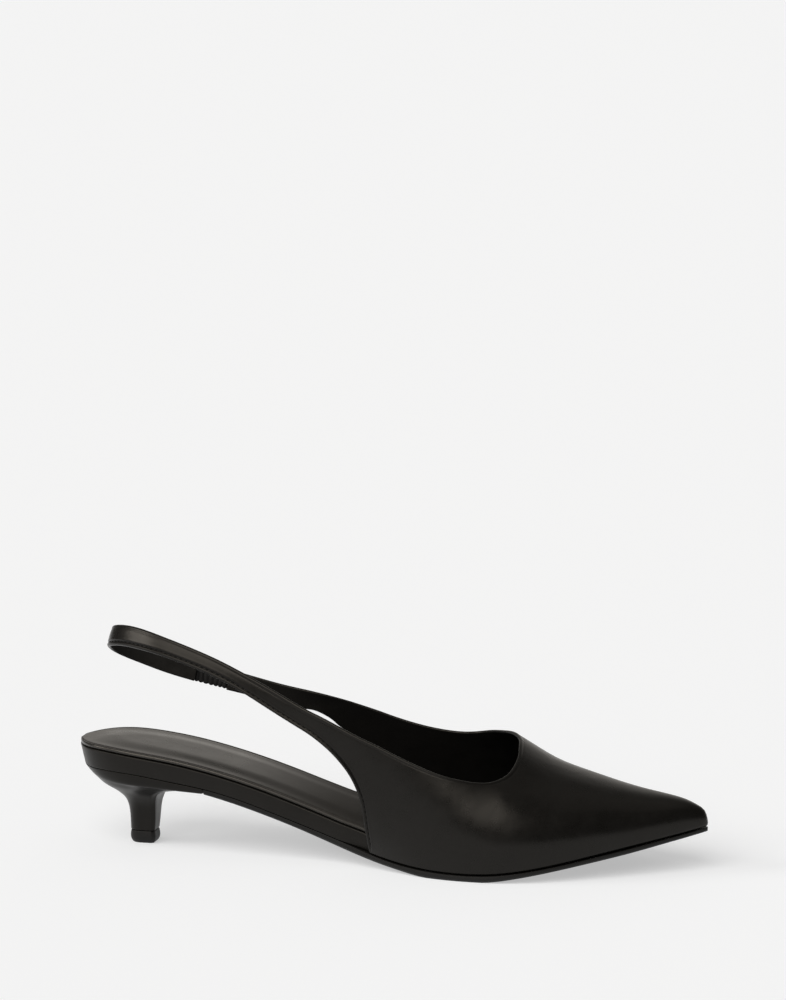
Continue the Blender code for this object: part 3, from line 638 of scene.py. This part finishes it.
def bumped(tree, height, distance, strength, under=None):
    made = node(tree, "ShaderNodeBump")
    made.inputs["Strength"].default_value = strength
    made.inputs["Distance"].default_value = distance
    tree.links.new(height, made.inputs["Height"])
    if under is not None:
        tree.links.new(under, made.inputs["Normal"])
    return made.outputs["Normal"]


def leather(name, dark, light, rough, grain=1500.0, relief=0.00004, strength=0.35, spread=0.04,
            specular=0.5, coat=0.0, coat_rough=0.3, pull=0.00006, pull_scale=70.0):
    """Grained leather: small pebbles between fine creases, pores, slow unevenness of the skin."""
    material, tree, shader = new_material(name)
    where = node(tree, "ShaderNodeTexCoord").outputs["Object"]
    warp = node(tree, "ShaderNodeTexNoise")
    warp.inputs["Scale"].default_value = grain * 0.25
    tree.links.new(where, warp.inputs["Vector"])
    shifted = node(tree, "ShaderNodeVectorMath", operation="MULTIPLY_ADD")
    tree.links.new(warp.outputs["Color"], shifted.inputs[0])
    shifted.inputs[1].default_value = (0.0007, 0.0007, 0.0007)
    tree.links.new(where, shifted.inputs[2])
    cells = node(tree, "ShaderNodeTexVoronoi", feature="DISTANCE_TO_EDGE")
    cells.inputs["Scale"].default_value = grain
    tree.links.new(shifted.outputs["Vector"], cells.inputs["Vector"])
    pebble = span(tree, cells.outputs["Distance"], 0.0, 1.0, 0.0, 0.25)
    pores = noise(tree, where, grain * 2.4, 2.0, 0.6)
    slow = noise(tree, where, pull_scale, 2.0, 0.45)
    tone = noise(tree, where, 160.0, 4.0, 0.6)
    first = bumped(tree, slow, pull * 10, 0.5)
    second = bumped(tree, pebble, relief, strength, first)
    third = bumped(tree, pores, relief * 0.6, strength * 0.7, second)
    tree.links.new(third, shader.inputs["Normal"])
    tree.links.new(ramp(tree, tone, [(0.3, dark), (0.7, light)]), shader.inputs["Base Color"])
    tree.links.new(span(tree, tone, rough - spread, rough + spread), shader.inputs["Roughness"])
    shader.inputs["Specular IOR Level"].default_value = specular
    shader.inputs["Specular Tint"].default_value = (1.0, 0.95, 0.88, 1.0)
    if coat:
        shader.inputs["Coat Weight"].default_value = coat
        shader.inputs["Coat Roughness"].default_value = coat_rough
    return material


def grey(value, warmth=1.06):
    return (value * warmth, value * 1.01, value / warmth)


SKIN = leather("black_leather", grey(0.0032), grey(0.0048), 0.29, specular=0.235, relief=0.00002, strength=0.25, spread=0.03)
SKIN_RAND = leather("black_leather_rand", grey(0.0046), grey(0.0062), 0.38, specular=0.215, relief=0.00002, strength=0.25, pull=0.00002)
SKIN_HEEL = leather("black_leather_heel", grey(0.0038), grey(0.0052), 0.32, specular=0.20, relief=0.00002, strength=0.25, pull=0.00002)
# The lining is black. Its base colour is set darker still, which is partly painted shade for the inside of the vamp.
LINING = leather("black_lining", grey(0.0014), grey(0.0024), 0.58, grain=1900.0, relief=0.00002, specular=0.06)


def painted_light_on_strap_lining(material):
    """Painted light and shade on the lining: paler inside the strap, where light reaches it, and kept very dark inside
    the vamp, where shade falls.
    """
    tree = material.node_tree
    shader = tree.nodes["Principled BSDF"]
    base = shader.inputs["Base Color"].links[0].from_socket
    split = node(tree, "ShaderNodeSeparateXYZ")
    tree.links.new(node(tree, "ShaderNodeTexCoord").outputs["Object"], split.inputs[0])
    share = span(tree, split.outputs["X"], 1.0, 0.0, -0.085, -0.035)
    mixed = node(tree, "ShaderNodeMix", data_type="RGBA")
    tree.links.new(share, mixed.inputs["Factor"])
    tree.links.new(base, mixed.inputs[6])
    # Painted light: a paler colour for the lining inside the strap, varied by a tone noise.
    painted_strap_light_tone = noise(tree, node(tree, "ShaderNodeTexCoord").outputs["Object"], 240.0, 4.0, 0.6)
    tree.links.new(ramp(tree, painted_strap_light_tone, [(0.3, grey(0.0115)), (0.7, grey(0.0185))]), mixed.inputs[7])
    tree.links.new(mixed.outputs[2], shader.inputs["Base Color"])


# Paints light on the lining inside the strap. The vamp's lining keeps its very dark colour, painted for its shade.
painted_light_on_strap_lining(LINING)


def duller_to_front(material, rough):
    """The sock loses its polish towards the ball, under the vamp."""
    tree = material.node_tree
    shader = tree.nodes["Principled BSDF"]
    base = shader.inputs["Roughness"].links[0].from_socket
    split = node(tree, "ShaderNodeSeparateXYZ")
    tree.links.new(node(tree, "ShaderNodeTexCoord").outputs["Object"], split.inputs[0])
    share = span(tree, split.outputs["X"], 0.0, 1.0, -0.066, -0.020)
    mixed = node(tree, "ShaderNodeMix", data_type="FLOAT")
    tree.links.new(share, mixed.inputs["Factor"])
    tree.links.new(base, mixed.inputs[2])
    tree.links.new(span(tree, share, rough - 0.02, rough + 0.02, 0.0, 1.0), mixed.inputs[3])
    tree.links.new(mixed.outputs[0], shader.inputs["Roughness"])
SOCK = leather("dark_sock_leather", grey(0.0120), grey(0.0165), 0.25, grain=1700.0, relief=0.00002,
               strength=0.20, specular=0.50, spread=0.03, pull=0.00004, pull_scale=55.0)
duller_to_front(SOCK, 0.60)


def thread(name):
    material, tree, shader = new_material(name)
    where = node(tree, "ShaderNodeTexCoord").outputs["Object"]
    twist = node(tree, "ShaderNodeTexWave")
    twist.inputs["Scale"].default_value = 900.0
    twist.inputs["Distortion"].default_value = 1.5
    tree.links.new(where, twist.inputs["Vector"])
    tree.links.new(ramp(tree, twist.outputs["Fac"], [(0.2, grey(0.002)), (0.8, grey(0.005))]), shader.inputs["Base Color"])
    tree.links.new(bumped(tree, twist.outputs["Fac"], 0.00005, 0.6), shader.inputs["Normal"])
    shader.inputs["Roughness"].default_value = 0.75
    shader.inputs["Specular IOR Level"].default_value = 0.16
    return material


def woven(name):
    """Fine ribbed elastic covered in soft leather-like cloth."""
    material, tree, shader = new_material(name)
    where = node(tree, "ShaderNodeTexCoord").outputs["Object"]
    fine = noise(tree, where, 2600.0, 2.0, 0.6)
    tone = noise(tree, where, 300.0, 3.0, 0.6)
    tree.links.new(ramp(tree, tone, [(0.3, grey(0.0028)), (0.7, grey(0.0050))]), shader.inputs["Base Color"])
    tree.links.new(bumped(tree, fine, 0.00005, 0.5), shader.inputs["Normal"])
    tree.links.new(span(tree, tone, 0.5, 0.62), shader.inputs["Roughness"])
    shader.inputs["Specular IOR Level"].default_value = 0.22
    return material


def rubber(name, value, rough):
    """Fine matt texture of a moulded sole, with scuffed speckle underneath."""
    material, tree, shader = new_material(name)
    where = node(tree, "ShaderNodeTexCoord").outputs["Object"]
    fine = noise(tree, where, 3200.0, 3.0, 0.65)
    tone = noise(tree, where, 220.0, 4.0, 0.6)
    tree.links.new(ramp(tree, tone, [(0.3, grey(value * 0.85)), (0.7, grey(value * 1.2))]), shader.inputs["Base Color"])
    tree.links.new(bumped(tree, fine, 0.00004, 0.5), shader.inputs["Normal"])
    tree.links.new(span(tree, tone, rough - 0.05, rough + 0.05), shader.inputs["Roughness"])
    shader.inputs["Specular IOR Level"].default_value = 0.25
    return material


THREAD = thread("black_thread")
ELASTIC = woven("black_elastic")
SOLE = rubber("black_sole", 0.0045, 0.50)
TOP_PIECE = rubber("black_top_piece", 0.0045, 0.46)


# ---- mesh helpers ---------------------------------------------------------------------------

def build(name, points, faces, materials, indices=None, slot=None, replaced=None, sharp=None):
    mesh = bpy.data.meshes.new(name)
    mesh.from_pydata([tuple(p) for p in place(points)], [], [tuple(int(v) for v in f) for f in faces])
    for material in materials:
        mesh.materials.append(material)
    if indices is not None:
        mesh.polygons.foreach_set("material_index", np.asarray(indices, np.int32))
    mesh.polygons.foreach_set("use_smooth", np.ones(len(mesh.polygons), bool))
    mesh.validate()
    mesh.update()
    if sharp:
        mesh.set_sharp_from_angle(angle=math.radians(sharp))
    made = bpy.data.objects.new(name, mesh)
    bpy.context.scene.collection.objects.link(made)
    if replaced:
        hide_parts(replaced)
    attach(made, "root")
    return made


def loft_faces(rings, loop, first=0, cap=True):
    """Faces between closed loops of points laid one after another, with flat ends."""
    k = np.arange(loop)
    n = (k + 1) % loop
    faces = []
    for r in range(rings - 1):
        a, b = first + r * loop, first + (r + 1) * loop
        faces += np.stack([a + k, a + n, b + n, b + k], axis=1).tolist()
    if cap:
        faces.append((first + k[::-1]).tolist())
        faces.append((first + (rings - 1) * loop + k).tolist())
    return faces


def facing_out(points, faces):
    """Turns the faces round if the closed body is inside out."""
    volume = 0.0
    middle = points.mean(axis=0)
    for f in faces:
        p = points[list(f)] - middle
        for i in range(1, len(f) - 1):
            volume += np.dot(p[0], np.cross(p[i], p[i + 1]))
    return [f[::-1] for f in faces] if volume < 0 else faces


def loft_object(name, loops, material, **others):
    loops = np.asarray(loops, float)
    points = loops.reshape(-1, 3)
    faces = facing_out(points, loft_faces(len(loops), loops.shape[1]))
    return build(name, points, faces, [material], **others)


def arc_length(points):
    return np.concatenate([[0], np.cumsum(np.linalg.norm(np.diff(points, axis=0), axis=1))])


# ---- the upper ------------------------------------------------------------------------------

FOLD = WALL / 2                    # radius of the folded edges
FOLD_ANGLES = np.radians((0, 22, 44, 66, 90))
NEAR_EDGE = (0.95, 1.15, 1.35, 1.5, 1.62, 1.74, 1.86, 1.98, 2.1, 2.25, 2.45, 2.8, 3.3)
INNER_ROWS = 26
GROOVE_AT = 1.8                    # stitched groove beside a folded edge
N_REAR, N_SIDE, N_STRAP, N_TAB = 48, 130, 160, 40


def stations(width):
    fold = FOLD * (1 - np.cos(FOLD_ANGLES))
    edge = np.concatenate([fold, NEAR_EDGE])
    even_share = np.linspace(0, 1, INNER_ROWS + 2)[1:-1]
    close_low = 0.45 * min(1.0, width / 40.0)          # rows lie closer near the lower edge
    middle = edge[-1] + (width - 2 * edge[-1]) * (even_share - close_low * even_share * (1 - even_share))
    return np.concatenate([edge, middle, width - edge[::-1]])


def upper_sheet():
    """Outer face at the wall's stations: positions, distance to the lower and upper edge."""
    coarse = upper_surface(N_REAR, N_SIDE, N_STRAP, N_TAB, 44)
    sheet, below, above = [], [], []
    for column in coarse:
        knots = arc_length(column)
        where = stations(knots[-1])
        sheet.append(natural_spline(knots, column)(where))
        below.append(where)
        above.append(knots[-1] - where)
    return np.array(sheet), np.array(below), np.array(above)


sheet, below_edge, above_edge = upper_sheet()
columns, rows = sheet.shape[:2]
sheet_normal = grid_normals(sheet)
column_index = np.arange(columns)
rear_from, rear_to = N_STRAP + N_REAR, columns - N_TAB - N_REAR - 1
folded_bottom = np.clip(np.maximum(rear_from - column_index, column_index - rear_to) / 3.0, 0, 1)


# Soft troughs and ridges of the leather on the near side, in millimetres: from x, z to x, z,
# depth (a ridge is negative) and half width.
CREASES = (
    (150.0, 36.0, 139.0, 16.0, 0.10, 3.4),
    (160.0, 37.0, 152.0, 15.0, -0.07, 3.0),
    (171.0, 33.0, 168.0, 12.0, 0.09, 3.2),
    (184.0, 34.0, 196.0, 14.0, 0.06, 4.2),
    (118.0, 61.0, 92.0, 70.5, 0.05, 2.6),
)


def relief_of_upper():
    """Height of the outer face over the plain surface: bead and stitched groove along every
    folded edge, and the slow unevenness of leather pulled over the last."""
    relief = 0.09 * hump(above_edge, 0.9, 0.42) - 0.05 * hump(above_edge, GROOVE_AT, 0.35)
    bottom = 0.14 * hump(below_edge, 0.95, 0.45) - 0.42 * hump(below_edge, GROOVE_AT, 0.36) + 0.08 * hump(below_edge, 2.7, 0.5)
    relief = relief + bottom * folded_bottom[:, None]
    feather = -0.25 * hump(below_edge, 0.4, 0.6) * (1 - folded_bottom[:, None])
    creases = np.zeros_like(relief)
    for x0, z0, x1, z1, depth, width in CREASES:
        near = sheet[..., 1] < 0
        along_it = np.clip(((sheet[..., 0] - x0) * (x1 - x0) + (sheet[..., 2] - z0) * (z1 - z0)) / ((x1 - x0) ** 2 + (z1 - z0) ** 2), 0, 1)
        away = np.hypot(sheet[..., 0] - x0 - along_it * (x1 - x0), sheet[..., 2] - z0 - along_it * (z1 - z0))
        creases -= np.where(near, depth * hump(away, 0.0, width) * np.sin(math.pi * (0.12 + 0.76 * along_it)), 0.0)
    return relief + feather + creases


relief = relief_of_upper()
sine = np.concatenate([np.sin(FOLD_ANGLES), np.ones(rows - 2 * len(FOLD_ANGLES)), np.sin(FOLD_ANGLES)[::-1]])[None, :, None]
outer_face = sheet + sheet_normal * (-FOLD + FOLD * sine + relief[..., None])
inner_face = sheet + sheet_normal * (-FOLD - FOLD * sine)
on_body = (sheet[..., 0] > 120)
lowest_inner = feather_height(np.minimum(inner_face[..., 0], TOE_X)) + 0.05
inner_face[..., 2] = np.where(on_body, np.maximum(inner_face[..., 2], lowest_inner), inner_face[..., 2])

ring_points = np.concatenate([outer_face, inner_face[:, -2:0:-1]], axis=1)
ring_count = ring_points.shape[1]


def rounded_end(ring, away):
    """Two smaller rings that round off a leather end."""
    middle = ring.mean(axis=0)
    across = ring - middle
    return [middle + across * (1 - 0.03) + away * 0.22, middle + across * (1 - 0.09) + away * 0.34]


first_away = ring_points[0].mean(axis=0) - ring_points[1].mean(axis=0)
first_away /= np.linalg.norm(first_away)
last_away = ring_points[-1].mean(axis=0) - ring_points[-2].mean(axis=0)
last_away /= np.linalg.norm(last_away)
all_rings = rounded_end(ring_points[0], first_away * 0.2)[::-1] + list(ring_points) + rounded_end(ring_points[-1], last_away * 0.2)
all_rings = np.array(all_rings)
upper_points = all_rings.reshape(-1, 3)
upper_faces = loft_faces(len(all_rings), ring_count)
inner_from, inner_to = rows - 1 + 3, ring_count - 3
face_material = []
for f in upper_faces:
    k = min(v % ring_count for v in f) if len(f) == 4 else 0
    on_wrap = len(f) == 4 and (ring_count - 1 in [v % ring_count for v in f]) and (0 in [v % ring_count for v in f])
    face_material.append(1 if (len(f) == 4 and inner_from <= k < inner_to and not on_wrap) else 0)
first_face = upper_faces[(len(all_rings) // 2) * ring_count + 20]
corner = upper_points[first_face]
if np.dot(np.cross(corner[1] - corner[0], corner[3] - corner[0]), sheet_normal[len(all_rings) // 2 - 2, 20]) < 0:
    upper_faces = [f[::-1] for f in upper_faces]
upper = build("upper_shell", upper_points, upper_faces, [SKIN, LINING], face_material,
              slot="upper_leather", replaced="upper")


# ---- stitches -------------------------------------------------------------------------------

def capsule(start, end, up, radius, sides=6):
    """One stitch: a short thread that dips into the leather at both ends."""
    along_it = end - start
    length = np.linalg.norm(along_it)
    along_it /= length
    side = np.cross(up, along_it)
    side /= np.linalg.norm(side)
    top = np.cross(along_it, side)
    shares = (0.0, 0.1, 0.3, 0.5, 0.7, 0.9, 1.0)
    lifts = (-1.5, -0.55, 0.1, 0.25, 0.1, -0.55, -1.5)
    sizes = (0.35, 0.8, 1.0, 1.0, 1.0, 0.8, 0.35)
    turn = np.linspace(0, 2 * math.pi, sides, endpoint=False)
    loops = []
    for share, lift, size in zip(shares, lifts, sizes):
        middle = start + along_it * length * share + top * lift * radius
        loops.append(middle + (np.cos(turn)[:, None] * side + np.sin(turn)[:, None] * top) * radius * size)
    return np.array(loops)


def stitch_row(path, normals, pitch=2.5, length=1.5, radius=0.26, sink=0.03):
    knots = arc_length(path)
    count = int(knots[-1] / pitch)
    rest = (knots[-1] - count * pitch) / 2
    made = []
    for i in range(count):
        a = rest + i * pitch + (pitch - length) / 2
        at = [np.array([np.interp(s, knots, path[:, j]) for j in range(3)]) for s in (a, a + length)]
        up = np.array([np.interp(a + length / 2, knots, normals[:, j]) for j in range(3)])
        up /= np.linalg.norm(up)
        made.append(capsule(at[0] - up * sink, at[1] - up * sink, up, radius))
    return made


def line_on_upper(chosen, distance, from_top):
    measure = above_edge if from_top else below_edge
    path, normals = [], []
    for c in chosen:
        order = np.argsort(measure[c])
        path.append([np.interp(distance, measure[c][order], outer_face[c, order, j]) for j in range(3)])
        normals.append([np.interp(distance, measure[c][order], sheet_normal[c, order, j]) for j in range(3)])
    return np.array(path), np.array(normals)


stitch_loops = []
for chosen, from_top in ((range(2, rear_from - 1), False), (range(rear_to + 2, columns - 2), False)):
    path, normals = line_on_upper(chosen, GROOVE_AT, from_top)
    stitch_loops += stitch_row(path, normals)


def many_lofts(name, lofts, material, **others):
    points, faces = [], []
    for loops in lofts:
        first = len(points)
        flat = loops.reshape(-1, 3)
        made = loft_faces(len(loops), loops.shape[1])
        made = facing_out(flat, made)
        faces += [[v + first for v in f] for f in made]
        points += flat.tolist()
    return build(name, np.array(points), faces, [material], **others)


stitching = many_lofts("upper_stitching", stitch_loops, THREAD, slot="upper_leather")


# ---- gathered elastic -----------------------------------------------------------------------

TUCK = 2.6                         # length of elastic hidden in each leather end


def elastic_rings(count=190, across=16):
    """The elastic band gathered between the two leather ends: soft folds across it and a
    scalloped edge, its flat ends tucked between the two layers of the leather."""
    def edge(name):
        rows_a = np.array([[LATERAL_STRAP[name + "_" + c][k] for c in "xyz"] for k in (-2, -1)])
        rows_b = np.array([[MEDIAL_STRAP[name + "_" + c][k] for c in "xyz"] for k in (-1, -2)])
        keys = np.concatenate([rows_a, rows_b])
        knots = arc_length(keys)
        return natural_spline(knots, keys)(np.linspace(knots[1] - TUCK, knots[2] + TUCK, count)), knots[2] - knots[1]
    (top, gap), (bottom, _) = edge("top"), edge("bottom")
    share = np.linspace(0.06, 0.94, across)[None, :, None]
    middle = bottom[:, None] * (1 - share) + top[:, None] * share
    reach = gap + 2 * TUCK
    t = (np.linspace(0, 1, count) * reach - TUCK) / gap        # 0 to 1 where it shows
    free = smoothstep(np.minimum(t, 1 - t) / 0.05)
    phase = ELASTIC_RUFFLES * t + 0.10 * np.sin(2 * math.pi * 1.3 * t)
    lobes = np.abs(np.sin(math.pi * phase)) ** 0.8 - 0.55
    up = (top - bottom) / np.linalg.norm(top - bottom, axis=1, keepdims=True)
    stretch = np.linspace(-1, 1, across)[None, :, None]
    middle = middle + up[:, None] * np.sign(stretch) * np.abs(stretch) ** 3 * 0.5 * (lobes * free)[:, None, None]
    normal = grid_normals(middle)
    wander = 0.12 * np.sin(4.0 * stretch[..., 0] + 7.0 * t[:, None])
    folds = np.abs(np.sin(math.pi * (phase[:, None] + wander))) ** 0.8 - 0.5
    centre = middle - normal * (STRAP_WALL / 2) + normal * (0.30 * folds * free[:, None])[..., None]
    half = (0.22 + 0.26 * free)[:, None, None] * np.sqrt(np.clip(1 - np.abs(stretch) ** 6, 0.15, 1))
    outer, inner = centre + normal * half, centre - normal * half
    return np.concatenate([outer, inner[:, ::-1]], axis=1)


elastic = loft_object("strap_elastic_gathered", elastic_rings(), ELASTIC, slot="elastic", replaced="strap_elastic")


# ---- footbed: sock and wrapped board --------------------------------------------------------

def rounded_loops(x_values, margin, low_of, high_of, profile):
    """Closed loops across the footbed from a list of (inset, share of height, crown) points."""
    loops = []
    for x in x_values:
        lateral, medial = (float(v) for v in half_widths(x, margin(x)))
        low, high = float(low_of(x)), float(high_of(x))
        middle, half = (lateral + medial) / 2, (medial - lateral) / 2
        side = [(max(half - inset, half * keep), low + (high - low) * share) for inset, share, keep in profile(half)]
        top_inset = side[-1]
        inside = [s for s in np.linspace(0.94, 0, 12)]
        crown = [(top_inset[0] * s, top_inset[1], s) for s in inside]
        loop = [(x, middle + y, z) for y, z in side]
        loop += [(x, middle + y, z) for y, z, s in crown]
        loop += [(x, middle - y, z) for y, z, s in crown[-2::-1]]
        loop += [(x, middle - y, z) for y, z in side[::-1]]
        loops.append(loop)
    return np.array(loops)


def rim_profile(r_low, r_high, thickness):
    def profile(half):
        turns = np.radians(np.linspace(0, 90, 6))
        points = [(r_low * (1 - math.sin(a)), r_low * (1 - math.cos(a)) / thickness, 0.2) for a in turns]
        points += [(r_high * (1 - math.cos(a)), 1 - r_high * (1 - math.sin(a)) / thickness, 0.2) for a in turns]
        return points
    return profile


def board_loops():
    x_values = bed_stations(150, HEEL_X + 0.06, FOOTBED_TOE)
    low = lambda x: feather_height(x) + SEAM_GAP
    high = lambda x: feather_height(x) + footbed_thickness(x) - SEAM_GAP
    loops = []
    for x in x_values:
        thick = float(high(x) - low(x))
        loop = rounded_loops([x], footbed_margin, low, high, rim_profile(0.4, 0.6, thick))[0]
        loops.append(lean(loop, float(low(x)), float(high(x))))
    return np.array(loops)


board = loft_object("insole_board_wrapped", board_loops(), SKIN_RAND, slot="rand_leather", replaced="insole_board")


CUSHION, CUSHION_FROM, CUSHION_RISE = 0.72, 5.0, 9.0    # height of the soft cushion, flat border, width of its slope


def sock_fine_loops():
    loops = []
    t = SOCK_THICKNESS
    for x in bed_stations(170, HEEL_X + 0.5, FOOTBED_TOE - 0.8):
        lateral, medial = (float(v) for v in half_widths(x, footbed_margin(x) - SOCK_EDGE))
        low = float(feather_height(x) + footbed_thickness(x)) + SEAM_GAP
        middle, half = (lateral + medial) / 2, (medial - lateral) / 2
        turns = np.radians(np.linspace(-60, 90, 9))
        r = min(0.8, half * 0.3)
        side = [(half - r + r * math.cos(a), low + t * 0.5 + t * 0.5 * math.sin(a)) for a in turns]
        inset = (1.0, 1.25, 1.45, 1.6, 1.72, 1.84, 2.0, 2.3, 3.0, 4.0)
        drop = (0.0, 0.03, 0.14, 0.34, 0.42, 0.34, 0.14, 0.02, 0.0, 0.0)
        scale = min(1.0, half / 9.0)
        side += [(half - i * scale, low + t - d * scale) for i, d in zip(inset, drop)]
        rest = half - inset[-1] * scale
        for s in np.linspace(0.95, 0.0, 21):
            y = rest * s
            from_side, from_back = half - y, max(x - HEEL_X, 0.01)
            inwards = 1 / math.sqrt(1 / from_side ** 2 + 1 / from_back ** 2)
            cushion = CUSHION * float(smoothstep((inwards - CUSHION_FROM) / CUSHION_RISE))
            side.append((y, low + t + cushion * min(1.0, half / 18.0)))
        loop = [(x, middle + y, z) for y, z in side]
        loop += [(x, middle - y, z) for y, z in side[-2::-1]]
        loops.append(loop)
    return np.array(loops)


sock = loft_object("insole_sock_padded", sock_fine_loops(), SOCK, slot="sock_lining", replaced="insole_sock")


# ---- sole, heel and top piece ---------------------------------------------------------------

def refine(loops, rings):
    """Loops in between the given ones, smoothly spaced by their mean distance."""
    loops = np.asarray(loops, float)
    steps = np.linalg.norm(np.diff(loops, axis=0), axis=2).mean(axis=1)
    knots = np.concatenate([[0], np.cumsum(steps)])
    return natural_spline(knots, loops)(np.linspace(0, knots[-1], rings))


def bevelled(made, width_mm, angle=32, segments=2):
    bevel = made.modifiers.new("edges", "BEVEL")
    bevel.width = width_mm / 1000.0
    bevel.segments = segments
    bevel.limit_method = "ANGLE"
    bevel.angle_limit = math.radians(angle)
    bevel.harden_normals = False
    return made


sole = bevelled(loft_object("outsole_thin", sole_loops(150), SOLE, slot="sole_rubber", replaced="outsole"), 0.14)
heel = bevelled(loft_object("heel_covered", refine(heel_loops(49), 70), SKIN_HEEL, slot="heel_cover", replaced="heel"), 0.18, 40)
top_piece = bevelled(loft_object("heel_top_piece_block", refine(tip_loops(49), 12), TOP_PIECE, slot="top_piece_rubber", replaced="heel_top_piece"), 0.25, 35)


# ---- studio ---------------------------------------------------------------------------------

def floor_and_light():
    mesh = bpy.data.meshes.new("studio_floor")
    size = 120.0
    mesh.from_pydata([(-size, -size, -0.0001), (size, -size, -0.0001), (size, size, -0.0001), (-size, size, -0.0001)], [], [(0, 1, 2, 3)])
    material, tree, shader = new_material("pale_floor")
    shader.inputs["Base Color"].default_value = (0.572, 0.60, 0.643, 1)
    shader.inputs["Emission Color"].default_value = (1, 1, 1, 1)
    shader.inputs["Emission Strength"].default_value = 0.445
    shader.inputs["Roughness"].default_value = 1.0
    shader.inputs["Specular IOR Level"].default_value = 0.0
    mesh.materials.append(material)
    floor = bpy.data.objects.new("studio_floor", mesh)
    bpy.context.scene.collection.objects.link(floor)


def soft_sun(name, towards, energy, angle, colour=(1.05, 1.0, 0.93)):
    """A far soft light. towards points from the shoe to the light."""
    data = bpy.data.lights.new(name, "SUN")
    data.energy = energy
    data.angle = math.radians(angle)
    data.color = colour
    made = bpy.data.objects.new(name, data)
    made.rotation_mode = "QUATERNION"
    made.rotation_quaternion = Vector(towards).to_track_quat("Z", "Y")
    bpy.context.scene.collection.objects.link(made)


WARM = (1.05, 1.0, 0.93)            # the lamps are a little warm


def warm(value):
    return tuple(value * c for c in WARM)


def sky(back, front):
    """Plain light from all round: a pale backdrop behind the shoe, a darker room in front."""
    world = bpy.data.worlds.new("studio_light")
    bpy.context.scene.world = world
    world.use_nodes = True
    tree = world.node_tree
    where = node(tree, "ShaderNodeTexCoord").outputs["Generated"]
    split = node(tree, "ShaderNodeSeparateXYZ")
    tree.links.new(where, split.inputs[0])
    colour = ramp(tree, split.outputs["Y"], [(0.28, warm(front)), (0.76, warm(back * 0.36)), (0.98, warm(back))])
    tree.links.new(colour, tree.nodes["Background"].inputs["Color"])
    tree.nodes["Background"].inputs["Strength"].default_value = 1.0


def compass(azimuth, elevation):
    """Direction from the shoe. Azimuth 0 is the camera's side, 90 the toe, -90 the heel."""
    a, e = math.radians(azimuth), math.radians(elevation)
    return math.sin(a) * math.cos(e), -math.cos(a) * math.cos(e), math.sin(e)


floor_and_light()
sky(0.62, 0.11)
soft_sun("front_softbox", compass(-19, 43), 2.15, 58)
soft_sun("heel_side_softbox", compass(-72, 27), 0.78, 24)
soft_sun("overhead_softbox", compass(120, 82), 0.12, 50)
bpy.context.scene.view_settings.view_transform = "Standard"
bpy.context.scene.view_settings.look = "None"

YAW, RISE, ROLL = math.radians(13.06), math.radians(8.63), math.radians(-0.14)
AIM = np.array([138.5, 0.0, 149.8])
DISTANCE = 1500.0
FOCAL = 3.6407                      # of the frame's long side


def camera():
    back = np.array([math.sin(YAW) * math.cos(RISE), -math.cos(YAW) * math.cos(RISE), math.sin(RISE)])
    right = np.array([math.cos(YAW), math.sin(YAW), 0.0])
    up = np.cross(back, right)
    right_rolled = math.cos(ROLL) * right + math.sin(ROLL) * up
    up_rolled = -math.sin(ROLL) * right + math.cos(ROLL) * up
    data = bpy.data.cameras.new("photo_camera")
    data.sensor_width = 36.0
    data.lens = FOCAL * 36.0
    data.clip_start, data.clip_end = 0.05, 500.0
    made = bpy.data.objects.new("photo_camera", data)
    turn = Matrix((right_rolled, up_rolled, back)).transposed().to_4x4()
    turn.translation = Vector(place(AIM + back * DISTANCE))
    made.matrix_world = turn
    bpy.context.scene.collection.objects.link(made)
    bpy.context.scene.camera = made


camera()
bpy.context.view_layer.update()
